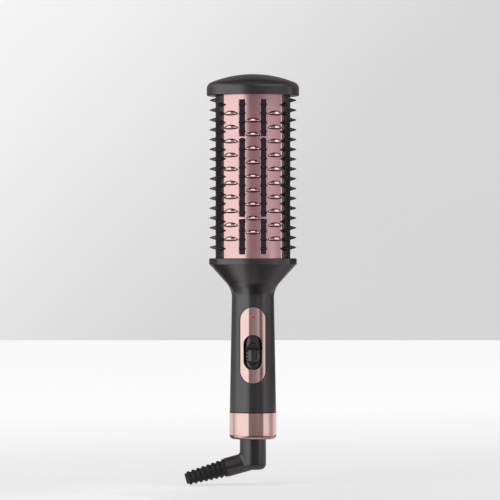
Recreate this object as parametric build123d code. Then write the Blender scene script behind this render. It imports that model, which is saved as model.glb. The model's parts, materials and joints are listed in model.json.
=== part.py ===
from build123d import *
import math
import os

# A heated round styling brush, standing with its cap up. +Z runs along the barrel towards the cap, the
# front faces -Y, and the origin is on the axis at the end face of the handle. Millimetres and degrees.

BASE = (Align.CENTER, Align.CENTER, Align.MIN)
FAR = 40.0
OVER = 1.0

# Heights along the axis
RING_TOP = 19.5
NECK_Z = 101.3
COLLAR_BOTTOM = 124.9
COLLAR_TOP = 129.4
BARREL_TOP = 245.7
CAP_RIM_TOP = 250.9
CAP_TOP = 261.3

# Handle
HANDLE_END_R = 16.6
NECK_R = 15.1
FLARE_ARC = 15.6
FLARE_ANGLE = 42.1
WALL = 2.2
SEAM_GAP = 0.05
RING_R = 16.85
RING_WALL = 1.25
RING_FLOOR = 1.6
RING_EDGE = 2.0
RING_JOIN = 0.1
SPIGOT_R = 15.5
SPIGOT_WALL = 1.7
SPIGOT_BOTTOM = 1.8

# Control plate, switch and light on the handle's front
PLATE_LOW, PLATE_HIGH, PLATE_WIDTH = 39.9, 94.7, 18.5
PLATE_PROUD = 0.35
PLATE_SINK = 0.7
PLATE_FIT = 0.2
PLATE_BED = 0.02
OPENING_LOW, OPENING_HIGH, OPENING_WIDTH = 49.9, 74.4, 13.0
SWITCH_TRAVEL = 3.0
THUMB_LOW, THUMB_HIGH, THUMB_WIDTH = 53.4, 69.1, 10.4
THUMB_PROUD = 16.9
THUMB_SADDLE = 15.5
THUMB_BACK = 12.9
THUMB_LIP = 0.7
THUMB_STEPS = {"shoulder": 0.88, "brow": 0.8, "saddle_high": 0.66, "saddle_low": 0.2, "lip": 0.08}
SHUTTER_R = 12.85
SHUTTER_T = 1.0
SHUTTER_WIDTH = 17.0
SHUTTER_LAP = 1.2
STEM_HALF, STEM_SPAN = 3.4, (56.2, 67.0)
DRIVER_HALF, DRIVER_SPAN, DRIVER_REACH = 1.0, (60.2, 63.2), 1.1
SWITCH_FACE, SWITCH_HALF, SWITCH_SPAN = -9.6, 4.2, (52.7, 71.2)
SWITCH_SLOT_FIT, SWITCH_EDGE = 0.4, 0.4
LED_Z = 87.5
LENS_R = 1.9
LENS_PROUD = 0.15
LENS_BACK = 10.6
LENS_EDGE = 0.4
LENS_FLANGE_R, LENS_FLANGE_SPAN = 2.6, (-12.4, -11.4)
LAMP_R, LAMP_FLANGE_R, LAMP_BODY, LAMP_FLANGE_T = 1.5, 1.9, 3.0, 0.8

# Collar and cap
COLLAR_R = 31.4
COLLAR_EDGE = 0.9
CAP_R = 33.1
CAP_SHOULDER_R = 4.8
CAP_EDGE = 0.7
CAP_HOLLOW_R, CAP_HOLLOW_TOP = 22.0, 253.6
CAP_CROWN_R, CAP_CROWN_TOP = 13.0, 256.6
CAP_SOCKET_R, CAP_SOCKET_TOP = 3.4, 254.6
TUBE_R, TUBE_BORE = 12.4, 10.2
TUBE_BOTTOM = 104.2
GROOVE_LOW, GROOVE_HIGH, GROOVE_R = 107.0, 109.2, 11.6
GROOVE_FIT = 0.1
SEAT_IN, SEAT_OUT = 24.4, 27.15
SEAT_DEPTH = 1.8
SEAT_FIT = 0.2
LEDGE_IN, LEDGE_OUT, LEDGE_T = 22.5, 24.5, 2.6
COLLAR_BOSS_R, COLLAR_BOSS_T = 3.6, 3.1
COLLAR_SCREW_R, COLLAR_HEAD_R, COLLAR_HEAD_SINK = 1.5, 2.7, 1.0
BARREL_SCREW = {"head_r": 2.5, "head_t": 1.8, "shank_r": 1.3, "length": 17.0}

# Barrel: plates, combs and bristles
BARREL_R = 26.9
SHEET = 1.2
PLATE_HALF_ANGLE = 51.5
SLOT_X = 7.7
SLOT_WIDTH = 3.9
SLOT_SPANS = ((132.5, 157.0), (159.1, 214.6), (216.2, 242.0))
ROUND_SLOT = 1
FIN_PITCH = 9.92
FIN_SIDE_TOP, FIN_SIDE_COUNT, FIN_SIDE_ANGLE, FIN_SIDE_LENGTH = 231.9, 10, 36.5, 13.0
FIN_MID_TOP, FIN_MID_COUNT, FIN_MID_LENGTH = 226.7, 9, 10.5
FIN_THICK, FIN_FOOT, FIN_RISE, FIN_SLOPE = 3.4, 25.9, 2.3, 1.2
COMB_R = 26.8
COMB_SHEET = 1.7
COMB_GAP_ANGLE = 0.5
TIP_R = 31.1
TOOTH_BASE_R, TOOTH_TIP_R = 1.45, 0.5
TOOTH_ROOT = 0.9
SLOT_TOOTH_R, SLOT_TOOTH_ROOT = 1.1, 0.4
ROW_TOP, ROW_COUNT, ROW_PITCH = 238.8, 17, 6.41
EDGE_ROW_TOP, EDGE_ROW_COUNT, EDGE_ROW_PITCH = 242.6, 16, 7.03
SIDE_ROW_ANGLE, SIDE_ROW_LEAN = 57.5, 32.0
STAY_HEIGHTS, STAY_HALF, STAY_HALF_HEIGHT = (155.0, 187.5, 220.0), 1.2, 1.5

# Barrel frame and heater
DISC_R = 24.1
DISC_BORE = 5.0
DISC_T = 3.4
RAIL_SEAT = 1.6
RAIL_LOW, RAIL_HIGH = COLLAR_TOP + RAIL_SEAT, BARREL_TOP - RAIL_SEAT
RAIL_WIDTH, RAIL_FRONT, RAIL_BACK = 4.3, 23.6, 20.4
SEAT_GAP = 0.1
SPAR_X, SPAR_WIDTH, SPAR_DEPTH = 17.5, 4.0, 12.0
SPAR_PIN_R, SPAR_PIN_TOP = 2.0, 251.6
SPAR_PILOT_R, SPAR_PILOT_DEPTH = 1.3, 12.5
CORE_HALF, CORE_R, CORE_SINK = 4.8, 25.65, 1.0
CHANNELS = ((4.0, 12.5), (14.0, 22.5))
CHANNEL_HALF = 3.2
TILE_HALF, TILE_T = 3.6, 2.1
STRIP_T, STRIP_OUT = 0.25, 3.0
FILM_T = 0.15
TILE_COUNT, TILE_LENGTH, TILE_PITCH = 4, 21.0, 25.4
TILE_FIRST = COLLAR_TOP + 9.0
TAB_BOTTOM = COLLAR_TOP + 1.0
TAB_NEAR, TAB_FAR = 1.4, 3.0
SENSOR_Z = 144.5
FUSE_R, FUSE_LENGTH, FUSE_WIRE_R, FUSE_WIRE_OUT = 1.9, 10.0, 0.5, 5.0
FUSE_EDGE = 0.3
CLIP_R, CLIP_T, CLIP_HEIGHT, CLIP_MOUTH = 2.3, 0.35, 5.0, 2.4
LUG_HALF, LUG_T, LUG_LENGTH = 2.6, 0.8, 9.0
BEAD_R, BEAD_LENGTH, BEAD_SINK = 1.3, 5.0, 0.1

# Boards, screws and leads
BOARD_LOW, BOARD_HIGH, BOARD_HALF = 33.0, 92.3, 10.5
BOARD_BACK, BOARD_T = -3.9, 1.6
BOARD_FRONT = BOARD_BACK - BOARD_T
BOARD_CORNER = 1.0
BOSS_R = 2.6
SHELL_SCREWS = ((-8.0, 29.5), (8.0, 29.5), (-7.0, 96.9), (7.0, 96.9))
SHELL_PILOT_R, SHELL_PILOT_DEPTH, SHELL_HOLE_R = 1.05, 9.0, 1.5
SHELL_SCREW = {"head_r": 2.6, "head_t": 1.8, "shank_r": 1.0, "length": 11.0}
BOARD_SCREWS = (39.0, 82.0)
BOARD_SCREW = {"head_r": 2.2, "head_t": 1.4, "shank_r": 0.9, "length": 6.0}
POST_R, POST_PILOT_R, POST_PILOT_DEPTH, BOARD_HOLE_R = 3.0, 0.95, 9.0, 1.3
WELL_R, WELL_FLOOR, WELL_WALL, PLUG_LENGTH = 2.9, 5.0, 1.0, 2.0
PLUG_SINK = 0.15
LEAD_R, LEAD_BEND = 0.8, 2.0
LEAD_STRAIGHT = 2.5 * LEAD_BEND
SUPPLY_LEAD_X, SUPPLY_LEAD_Z = 2.6, 35.0
HEATER_LEAD_X, HEATER_LEAD_Z = 2.2, 89.0
LEAD_LINE_Y = 0.5
TRIAC_SPAN_X, TRIAC_SPAN_Z, TRIAC_T, TRIAC_PAD = (-7.2, -3.0), (72.8, 80.2), 3.2, 0.6
TRIAC_LEGS, TRIAC_LEG_T = (-6.6, -5.4, -4.2), 0.6
CAPACITOR_R, CAPACITOR_X, CAPACITOR_Z, CAPACITOR_LENGTH = 3.2, 6.0, 37.5, 4.5
CAPACITOR_EDGE = 0.5

# Cord swivel
STUB_R = 9.4
STUB_BOTTOM = -22.0
STUB_EDGE = 4.0
STUB_GAP = 0.5
BEARING_FIT = 0.05
BUSH_TOP = 6.0
FLANGE_R, FLANGE_LOW, FLANGE_HIGH = 12.8, 6.1, 8.1
WASHER_LOW, WASHER_HIGH, WASHER_GAP, WASHER_OVER = 8.2, 9.2, 0.6, 0.8
WEB_LOW, WEB_HIGH, WEB_BORE = 9.2, 11.2, 7.4
HUB_R, HUB_TOP = 6.8, 12.5
DRUM_R, DRUM_TOP, DRUM_BORE = 5.6, 25.0, 2.6
SLIP_RING_R, DRUM_FLANGE = 6.6, 0.3
SLIP_RINGS = ((14.6, 17.4), (19.6, 22.4))
BLOCK_HALF, BLOCK_NEAR, BLOCK_FAR, BLOCK_SPAN = 5.5, 8.0, 12.2, (13.5, 23.5)
BLOCK_SEAT_HALF, BLOCK_SEAT_FAR, BLOCK_SEAT_SPAN = 3.0, 15.0, (14.5, 23.5)
BLOCK_CORNER = 1.0
SPRING_GAP, SPRING_T, SPRING_INSET = 0.08, 0.3, 0.4
SPRING_LEFT, SPRING_FOOT, SPRING_RIGHT = -4.6, 3.2, 4.4
CORD_BORE, WIRE_BORE = 3.2, 3.4
BRANCH_Z = -15.2
BRANCH_ANGLE = 15.8
BRANCH_R, BRANCH_LENGTH = 6.8, 20.0
BRANCH_FILLET = 2.5
RELIEF_LENGTH, ANCHOR_LENGTH, ANCHOR_R = 30.0, 8.0, 5.0
RELIEF_BASE_R, RELIEF_TIP_R = 6.5, 4.9
RIB_COUNT, RIB_WIDTH, RIB_DEPTH = 8, 2.1, 1.0


# ---------------------------------------------------------------- shared shapes


def ring(inner, outer, low, high):
    """A plain ring about the axis."""
    body = Pos(0, 0, low) * Cylinder(outer, high - low, align=BASE)
    if inner <= 0:
        return body
    hole = Pos(0, 0, low - OVER) * Cylinder(inner, high - low + 2 * OVER, align=BASE)
    return body - hole


def block(x_span, y_span, z_span):
    """A box given by its limits along each axis."""
    size = [span[1] - span[0] for span in (x_span, y_span, z_span)]
    return Pos(x_span[0], y_span[0], z_span[0]) * Box(*size, align=(Align.MIN,) * 3)


def turned(outline):
    """A solid turned about the axis from (radius, height) corners."""
    corners = [(r, 0, z) for r, z in outline]
    return revolve(make_face(Polyline(*corners, close=True)), Axis.Z, 360)


def along_y(radius, x, z, y_low, y_high):
    """A cylinder that runs along Y."""
    rod = Cylinder(radius, y_high - y_low, align=BASE)
    return Pos(x, y_low, z) * Rot(-90, 0, 0) * rod


def stadium(width, low, high, y_low, y_high):
    """A round-ended prism along Y, upright, centred on x = 0."""
    length = high - low
    outline = SlotOverall(length, width, rotation=90)
    return Pos(0, y_high, (low + high) / 2) * Rot(90, 0, 0) * extrude(outline, y_high - y_low)


def handle_r(z, inset=0.0):
    """Radius of the tapered part of the handle at a height."""
    share = (z - RING_TOP) / (NECK_Z - RING_TOP)
    return HANDLE_END_R + (NECK_R - HANDLE_END_R) * share - inset


def handle_solid(inset, low):
    """The handle and its flare as a solid, set in from the skin."""
    angle = math.radians(FLARE_ANGLE)
    centre = NECK_R + FLARE_ARC
    radius = FLARE_ARC + inset

    def on_arc(turn):
        return (centre - radius * math.cos(turn), 0, NECK_Z + radius * math.sin(turn))

    bottom = (handle_r(low, inset), 0, low)
    neck = (NECK_R - inset, 0, NECK_Z)
    flare = on_arc(angle)
    mouth_r = flare[0] + (COLLAR_BOTTOM - flare[2]) * math.tan(angle)
    mouth = (mouth_r, 0, COLLAR_BOTTOM)
    outline = Curve() + [
        Line(bottom, neck),
        ThreePointArc(neck, on_arc(angle / 2), flare),
        Line(flare, mouth),
        Polyline(mouth, (0, 0, COLLAR_BOTTOM), (0, 0, low), bottom),
    ]
    return revolve(make_face(outline), Axis.Z, 360)


def sector(half_angle, middle_angle, inner, outer, low, high):
    """A curved sheet about the axis; angles are measured from the front towards +X."""
    reach = outer * 2
    start = middle_angle - half_angle
    steps = [start + half_angle * k / 2 for k in range(5)]
    rim = [(reach * math.sin(math.radians(a)), -reach * math.cos(math.radians(a))) for a in steps]
    wedge = extrude(make_face(Polyline((0, 0), *rim, close=True)), high - low)
    return ring(inner, outer, low, high) & (Pos(0, 0, low) * wedge)


def tooth(foot, tip, base_r, tip_r):
    """A tapered bristle with a rounded tip, from its foot to its tip."""
    start = Vector(*foot)
    way = Vector(*tip) - start
    length = way.length
    straight = length - tip_r
    middle = tip_r * math.sqrt(0.5)
    outline = Curve() + [
        Polyline((0, 0, length), (0, 0, 0), (base_r, 0, 0), (tip_r, 0, straight)),
        ThreePointArc((tip_r, 0, straight), (middle, 0, straight + middle), (0, 0, length)),
    ]
    cone = revolve(make_face(outline), Axis.Z, 360)
    return Plane(origin=start, z_dir=way) * cone


def lead(points, bend):
    """An insulated lead along a path with rounded corners."""
    path = FilletPolyline(*points, radius=bend)
    return sweep(Plane(origin=path @ 0, z_dir=path % 0) * Circle(LEAD_R), path=path)


def screw(head_r, head_t, shank_r, length):
    """A pan-head screw: its head stands on z = 0 and its shank points down."""
    head = fillet(Cylinder(head_r, head_t, align=BASE).edges().sort_by(Axis.Z)[-1], head_t / 3)
    recess = Pos(0, 0, head_t) * Box(head_r, head_r / 4, head_t / 2)
    recess += Pos(0, 0, head_t) * Box(head_r / 4, head_r, head_t / 2)
    return head + Pos(0, 0, -length) * Cylinder(shank_r, length, align=BASE) - recess


# ---------------------------------------------------------------- handle


def shell_inner():
    """The hollow of the closed handle, above and inside its spigot."""
    upper = handle_solid(WALL, RING_TOP - WALL)
    spigot = ring(0, SPIGOT_R - SPIGOT_WALL, SPIGOT_BOTTOM - OVER, RING_TOP)
    return upper + spigot


def closed_handle():
    """Both shells as one: skin, spigot, ribs and bosses, before the seam is cut."""
    skin = handle_solid(0, RING_TOP) + ring(0, SPIGOT_R, SPIGOT_BOTTOM, RING_TOP)
    body = skin - shell_inner()
    web = ring(WEB_BORE, SPIGOT_R - SPIGOT_WALL / 2, WEB_LOW, WEB_HIGH)
    rib = ring(GROOVE_R + GROOVE_FIT, NECK_R, GROOVE_LOW + GROOVE_FIT, GROOVE_HIGH - GROOVE_FIT)
    return body + web + rib


def screw_bosses(radius, side):
    """Bosses for the shell screws, from the wall to the seam; side is -1 at the front."""
    reach = sorted((0, side * HANDLE_END_R))
    within = handle_solid(WALL / 2, RING_TOP)
    return [along_y(radius, x, z, *reach) & within for x, z in SHELL_SCREWS]


def front_cut(width, low, high, margin=0.0):
    """A round-ended cut through the front wall, larger than its size by a margin all round."""
    return stadium(width + 2 * margin, low - margin, high + margin, -FAR, -HANDLE_END_R / 3)


def lens_hole():
    """The hole for the light's lens, through the front wall."""
    return along_y(LENS_R + BEARING_FIT, 0, LED_Z, -FAR, -HANDLE_END_R / 3)


def front_shell():
    """The front half of the handle, with the recess and the opening for the controls."""
    room = block((-FAR, FAR), (-FAR, -SEAM_GAP), (0, COLLAR_BOTTOM + OVER))
    body = (closed_handle() + screw_bosses(BOSS_R, -1)) & room
    recess = front_cut(PLATE_WIDTH, PLATE_LOW, PLATE_HIGH, PLATE_FIT)
    body -= recess - handle_solid(PLATE_SINK, RING_TOP)
    body -= front_cut(OPENING_WIDTH, OPENING_LOW, OPENING_HIGH, 2 * PLATE_FIT)
    body -= lens_hole()
    for x, z in SHELL_SCREWS:
        body -= along_y(SHELL_PILOT_R, x, z, -SHELL_PILOT_DEPTH, 0)
    return body


def rear_shell():
    """The rear half of the handle, with the screw wells, the board posts and the contact seat."""
    room = block((-FAR, FAR), (SEAM_GAP, FAR), (0, COLLAR_BOTTOM + OVER))
    inside = handle_solid(WALL / 2, RING_TOP)
    seat_half = BLOCK_SEAT_HALF
    body = closed_handle() + screw_bosses(WELL_R + WELL_WALL, 1)
    body += [along_y(POST_R, 0, z, BOARD_BACK, HANDLE_END_R) & inside for z in BOARD_SCREWS]
    body += block((-seat_half, seat_half), (BLOCK_FAR, BLOCK_SEAT_FAR), BLOCK_SEAT_SPAN)
    body = (body & room) + [along_y(POST_R, 0, z, BOARD_BACK, OVER) for z in BOARD_SCREWS]
    for x, z in SHELL_SCREWS:
        body -= along_y(SHELL_HOLE_R, x, z, -OVER, FAR)
        body -= along_y(WELL_R, x, z, WELL_FLOOR, FAR)
    for z in BOARD_SCREWS:
        body -= along_y(POST_PILOT_R, 0, z, BOARD_BACK - OVER, BOARD_BACK + POST_PILOT_DEPTH)
    return body


def shell_screws():
    """Four screws from the rear that close the handle."""
    base = screw(**SHELL_SCREW)
    return [Pos(x, WELL_FLOOR, z) * Rot(-90, 0, 0) * base for x, z in SHELL_SCREWS]


def screw_plugs():
    """Plugs that fill the screw wells, flush with the rear of the handle."""
    skin = handle_solid(PLUG_SINK, RING_TOP) - handle_solid(PLUG_SINK + PLUG_LENGTH, RING_TOP)
    return [skin & along_y(WELL_R - SEAT_GAP, x, z, WELL_FLOOR, FAR) for x, z in SHELL_SCREWS]


def end_ring():
    """The metal ring that slips over both shells and closes the handle's end."""
    body = fillet(ring(0, RING_R, 0, RING_TOP - RING_JOIN).edges().group_by(Axis.Z)[0], RING_EDGE)
    body -= ring(0, RING_R - RING_WALL, RING_FLOOR, RING_TOP + OVER)
    return body - ring(0, STUB_R + STUB_GAP, -OVER, RING_FLOOR + OVER)


def control_plate():
    """The metal plate let into the front of the handle, round the switch and the light."""
    sheet = handle_solid(-PLATE_PROUD, RING_TOP) - handle_solid(PLATE_SINK - PLATE_BED, RING_TOP)
    body = sheet & front_cut(PLATE_WIDTH, PLATE_LOW, PLATE_HIGH)
    return body - front_cut(OPENING_WIDTH, OPENING_LOW, OPENING_HIGH) - lens_hole()


# ---------------------------------------------------------------- controls


def thumb_piece():
    """The thumb piece: a tall upper bump, a saddle and a low lower lip, with its driver behind."""
    level = {name: THUMB_LOW + share * (THUMB_HIGH - THUMB_LOW) for name, share in THUMB_STEPS.items()}
    profile = [
        (-THUMB_BACK, THUMB_LOW),
        (-THUMB_BACK, THUMB_HIGH),
        (-THUMB_PROUD + 2 * THUMB_LIP, THUMB_HIGH),
        (-THUMB_PROUD, level["shoulder"]),
        (-THUMB_PROUD, level["brow"]),
        (-THUMB_SADDLE, level["saddle_high"]),
        (-THUMB_SADDLE, level["saddle_low"]),
        (-THUMB_SADDLE - THUMB_LIP, level["lip"]),
        (-THUMB_SADDLE + THUMB_LIP / 2, THUMB_LOW),
    ]
    half = THUMB_WIDTH / 2
    face = make_face(Polyline(*[(-half, y, z) for y, z in profile], close=True))
    body = extrude(face, THUMB_WIDTH, dir=(1, 0, 0))
    body = body & front_cut(THUMB_WIDTH, THUMB_LOW, THUMB_HIGH)
    body += block((-STEM_HALF, STEM_HALF), (-THUMB_BACK, -SHUTTER_R + SHUTTER_T), STEM_SPAN)
    driver_tip = SWITCH_FACE + DRIVER_REACH
    return body + block((-DRIVER_HALF, DRIVER_HALF), (-SHUTTER_R + SHUTTER_T, driver_tip), DRIVER_SPAN)


def shutter():
    """The curved shield behind the opening, pushed onto the stem of the thumb piece."""
    reach = SWITCH_TRAVEL + SHUTTER_LAP
    low, high = OPENING_LOW - reach, OPENING_HIGH + reach
    half = SHUTTER_WIDTH / 2
    sheet = ring(SHUTTER_R - SHUTTER_T, SHUTTER_R, low, high)
    sheet = sheet & block((-half, half), (-FAR, 0), (low, high))
    return sheet - block((-STEM_HALF, STEM_HALF), (-FAR, 0), STEM_SPAN)


def slide_switch():
    """The switch on the board: a can with a slot for the driver."""
    body = block((-SWITCH_HALF, SWITCH_HALF), (SWITCH_FACE, BOARD_FRONT), SWITCH_SPAN)
    travel = SWITCH_TRAVEL + STUB_GAP
    slot_span = (DRIVER_SPAN[0] - travel, DRIVER_SPAN[1] + travel)
    slot_half = DRIVER_HALF + SWITCH_SLOT_FIT
    slot_depth = (SWITCH_FACE - OVER, SWITCH_FACE + DRIVER_REACH + OVER)
    body -= block((-slot_half, slot_half), slot_depth, slot_span)
    return chamfer(body.edges().filter_by(Axis.Y), SWITCH_EDGE)


def control_board():
    """The circuit board, held by two screws on the rear shell's posts."""
    body = block((-BOARD_HALF, BOARD_HALF), (BOARD_FRONT, BOARD_BACK), (BOARD_LOW, BOARD_HIGH))
    body = chamfer(body.edges().filter_by(Axis.Y), BOARD_CORNER)
    for z in BOARD_SCREWS:
        body -= along_y(BOARD_HOLE_R, 0, z, BOARD_FRONT - OVER, BOARD_BACK + OVER)
    return body


def board_screws():
    """Two screws that hold the board to its posts."""
    base = screw(**BOARD_SCREW)
    return [Pos(0, BOARD_FRONT, z) * Rot(90, 0, 0) * base for z in BOARD_SCREWS]


def status_led():
    """The indicator lamp on the board: a domed lens on a flange."""
    flange = Cylinder(LAMP_FLANGE_R, LAMP_FLANGE_T, align=BASE)
    dome = Pos(0, 0, LAMP_BODY) * Sphere(LAMP_R)
    body = flange + Cylinder(LAMP_R, LAMP_BODY, align=BASE) + dome
    return Pos(0, BOARD_FRONT, LED_Z) * Rot(90, 0, 0) * body


def led_lens():
    """The red light guide from the lamp to the handle's face, with a rounded outer end."""
    outer = handle_r(LED_Z) + PLATE_PROUD + LENS_PROUD
    guide = along_y(LENS_R, 0, LED_Z, -outer, -LENS_BACK)
    guide = fillet(guide.edges().sort_by(Axis.Y)[0], LENS_EDGE)
    return guide + along_y(LENS_FLANGE_R, 0, LED_Z, *LENS_FLANGE_SPAN)


def triac():
    """The power switch of the heater, lying on the board with its three legs."""
    low, high = TRIAC_SPAN_Z
    foot = BOARD_FRONT - TRIAC_PAD
    body = block(TRIAC_SPAN_X, (BOARD_FRONT - TRIAC_T, foot), TRIAC_SPAN_Z)
    leg_span = (low - TRIAC_LEG_T, low)
    leg_depth = (BOARD_FRONT - 3 * TRIAC_LEG_T, BOARD_FRONT)
    legs = [block((x, x + TRIAC_LEG_T), leg_depth, leg_span) for x in TRIAC_LEGS]
    return body + legs + block(TRIAC_SPAN_X, (foot, BOARD_FRONT), (low + TRIAC_LEG_T, high - TRIAC_LEG_T))


def capacitor():
    """The supply capacitor, standing off the board."""
    low = BOARD_FRONT - CAPACITOR_LENGTH
    can = along_y(CAPACITOR_R, CAPACITOR_X, CAPACITOR_Z, low, BOARD_FRONT)
    return chamfer(can.edges().group_by(Axis.Y)[0], CAPACITOR_EDGE)


# ---------------------------------------------------------------- cord swivel


def branch_plane(distance):
    """A frame on the branch's axis, at a distance from where it leaves the stub's axis."""
    angle = math.radians(BRANCH_ANGLE)
    way = Vector(-math.cos(angle), 0, -math.sin(angle))
    return Plane(origin=Vector(0, 0, BRANCH_Z) + way * distance, z_dir=way)


def branch_rod(radius, start, length):
    """A cylinder along the branch's axis."""
    return branch_plane(start) * Cylinder(radius, length, align=BASE)


def swivel_bush():
    """The plain bush that the stub turns in, standing on the end ring's floor."""
    outer = SPIGOT_R - SPIGOT_WALL - BEARING_FIT
    return ring(STUB_R + BEARING_FIT, outer, RING_FLOOR, BUSH_TOP)


def thrust_washer():
    """The washer between the stub's flange and the web of the shells."""
    return ring(HUB_R + WASHER_GAP, FLANGE_R + WASHER_OVER, WASHER_LOW, WASHER_HIGH)


def swivel_elbow():
    """The elbow: a stub with a captive flange and a hub, and the branch that the cord leaves by."""
    stub = Pos(0, 0, STUB_BOTTOM) * Cylinder(STUB_R, FLANGE_LOW - STUB_BOTTOM, align=BASE)
    body = fillet(stub.edges().sort_by(Axis.Z)[0], STUB_EDGE) + branch_rod(BRANCH_R, 0, BRANCH_LENGTH)
    plain = (GeomType.CIRCLE, GeomType.LINE)
    body = fillet([edge for edge in body.edges() if edge.geom_type not in plain], BRANCH_FILLET)
    body += ring(0, FLANGE_R, FLANGE_LOW, FLANGE_HIGH) + ring(0, HUB_R, FLANGE_HIGH, HUB_TOP)
    body -= ring(0, WIRE_BORE, BRANCH_Z, HUB_TOP + OVER)
    body -= branch_rod(WIRE_BORE, 0, BRANCH_LENGTH)
    return body - branch_rod(ANCHOR_R, BRANCH_LENGTH - ANCHOR_LENGTH, ANCHOR_LENGTH + OVER)


def strain_relief():
    """The ribbed sleeve that protects the cord, anchored in the branch."""
    pitch = RELIEF_LENGTH / RIB_COUNT
    outline = [(CORD_BORE, -ANCHOR_LENGTH), (ANCHOR_R, -ANCHOR_LENGTH), (ANCHOR_R, 0)]
    for k in range(RIB_COUNT):
        start = k * pitch
        outer = RELIEF_BASE_R + (RELIEF_TIP_R - RELIEF_BASE_R) * k / (RIB_COUNT - 1)
        outline += [(outer, start), (outer, start + RIB_WIDTH)]
        outline += [(outer - RIB_DEPTH, start + RIB_WIDTH), (outer - RIB_DEPTH, start + pitch)]
    outline.append((CORD_BORE, RELIEF_LENGTH))
    return branch_plane(BRANCH_LENGTH) * turned(outline)


def slip_ring_drum():
    """The insulating drum on the hub, with a flange either side of each slip ring."""
    drum = ring(DRUM_BORE, SLIP_RING_R + DRUM_FLANGE, HUB_TOP, DRUM_TOP)
    for low, high in SLIP_RINGS:
        drum -= ring(DRUM_R, SLIP_RING_R + OVER, low, high)
    return drum


def slip_rings():
    """The two brass slip rings that carry the mains to the turning elbow."""
    return [ring(DRUM_R, SLIP_RING_R, low, high) for low, high in SLIP_RINGS]


def contact_block():
    """The insulating block that holds the contact springs, on its seat in the rear shell."""
    body = block((-BLOCK_HALF, BLOCK_HALF), (BLOCK_NEAR, BLOCK_FAR), BLOCK_SPAN)
    return chamfer(body.edges().filter_by(Axis.Z), BLOCK_CORNER)


def contact_springs():
    """Two leaf springs, one on each slip ring."""
    springs = []
    near = SLIP_RING_R + SPRING_GAP
    for low, high in SLIP_RINGS:
        span = (low + SPRING_INSET, high - SPRING_INSET)
        leaf = block((SPRING_LEFT, SPRING_RIGHT), (near, near + SPRING_T), span)
        springs.append(leaf + block((SPRING_FOOT, SPRING_RIGHT), (near, BLOCK_NEAR), span))
    return springs


def supply_leads():
    """The two leads from the contact springs to the board."""
    leads = []
    middle = (BLOCK_NEAR + BLOCK_FAR) / 2
    start, bend = BLOCK_SPAN[1], BLOCK_SPAN[1] + LEAD_STRAIGHT
    for x in (-SUPPLY_LEAD_X, SUPPLY_LEAD_X):
        board_end = [(x, LEAD_LINE_Y, SUPPLY_LEAD_Z), (x, BOARD_BACK, SUPPLY_LEAD_Z)]
        leads.append(lead([(x, middle, start), (x, middle, bend), *board_end], LEAD_BEND))
    return leads


# ---------------------------------------------------------------- collar and cap


def at_spars(body):
    """The same piece at both spars of the barrel frame."""
    return [Pos(side * SPAR_X, 0, 0) * body for side in (-1, 1)]


def neck_collar():
    """The collar: a rim that carries the barrel, and a tube that both shells grip by a groove."""
    head_z = COLLAR_BOTTOM - COLLAR_HEAD_SINK
    boss_z = COLLAR_BOTTOM - COLLAR_BOSS_T
    rim = ring(0, COLLAR_R, COLLAR_BOTTOM, COLLAR_TOP)
    rim = fillet(rim.edges().group_by(Axis.Z)[-1], COLLAR_EDGE)
    body = rim + ring(0, TUBE_R, TUBE_BOTTOM, COLLAR_BOTTOM)
    body += ring(LEDGE_IN, LEDGE_OUT, COLLAR_BOTTOM - LEDGE_T, COLLAR_BOTTOM)
    body += at_spars(ring(0, COLLAR_BOSS_R, boss_z, COLLAR_BOTTOM))
    body -= ring(0, TUBE_BORE, TUBE_BOTTOM - OVER, COLLAR_TOP + OVER)
    body -= ring(GROOVE_R, TUBE_R + OVER, GROOVE_LOW, GROOVE_HIGH)
    body -= ring(SEAT_IN, SEAT_OUT, COLLAR_TOP - SEAT_DEPTH, COLLAR_TOP + OVER)
    body -= at_spars(ring(0, COLLAR_SCREW_R, boss_z - OVER, COLLAR_TOP + OVER))
    return body - at_spars(ring(0, COLLAR_HEAD_R, boss_z - OVER, head_z))


def barrel_screws():
    """Two screws from under the collar into the spars of the barrel frame."""
    base = Rot(180, 0, 0) * screw(**BARREL_SCREW)
    return at_spars(Pos(0, 0, COLLAR_BOTTOM - COLLAR_HEAD_SINK) * base)


def tip_cap():
    """The cool tip: an upright rim under a low dome, hollow, with sockets for the frame's pins."""
    rise = CAP_TOP - CAP_RIM_TOP
    inset = CAP_R - CAP_SHOULDER_R
    crown_r = (inset**2 + rise**2 - CAP_SHOULDER_R**2) / (2 * (rise - CAP_SHOULDER_R))
    meet = math.asin(inset / (crown_r - CAP_SHOULDER_R))

    def on_shoulder(turn):
        height = CAP_RIM_TOP + CAP_SHOULDER_R * math.cos(turn)
        return (inset + CAP_SHOULDER_R * math.sin(turn), 0, height)

    def on_crown(turn):
        return (crown_r * math.sin(turn), 0, CAP_TOP - crown_r * (1 - math.cos(turn)))

    edge, top = (CAP_R, 0, CAP_RIM_TOP), (0, 0, CAP_TOP)
    outline = Curve() + [
        ThreePointArc(edge, on_shoulder((math.pi / 2 + meet) / 2), on_shoulder(meet)),
        ThreePointArc(on_shoulder(meet), on_crown(meet / 2), top),
        Polyline(top, (0, 0, BARREL_TOP), (CAP_R, 0, BARREL_TOP), edge),
    ]
    body = revolve(make_face(outline), Axis.Z, 360)
    body = fillet(body.edges().sort_by(Axis.Z)[0], CAP_EDGE)
    hollow = ring(0, CAP_HOLLOW_R, BARREL_TOP - OVER, CAP_HOLLOW_TOP)
    hollow += ring(0, CAP_CROWN_R, CAP_HOLLOW_TOP - OVER, CAP_CROWN_TOP)
    hollow -= at_spars(ring(SPAR_PIN_R + BEARING_FIT, CAP_SOCKET_R, BARREL_TOP - OVER, CAP_SOCKET_TOP))
    return body - hollow - ring(SEAT_IN, SEAT_OUT, BARREL_TOP - OVER, BARREL_TOP + SEAT_DEPTH)


# ---------------------------------------------------------------- barrel


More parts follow.
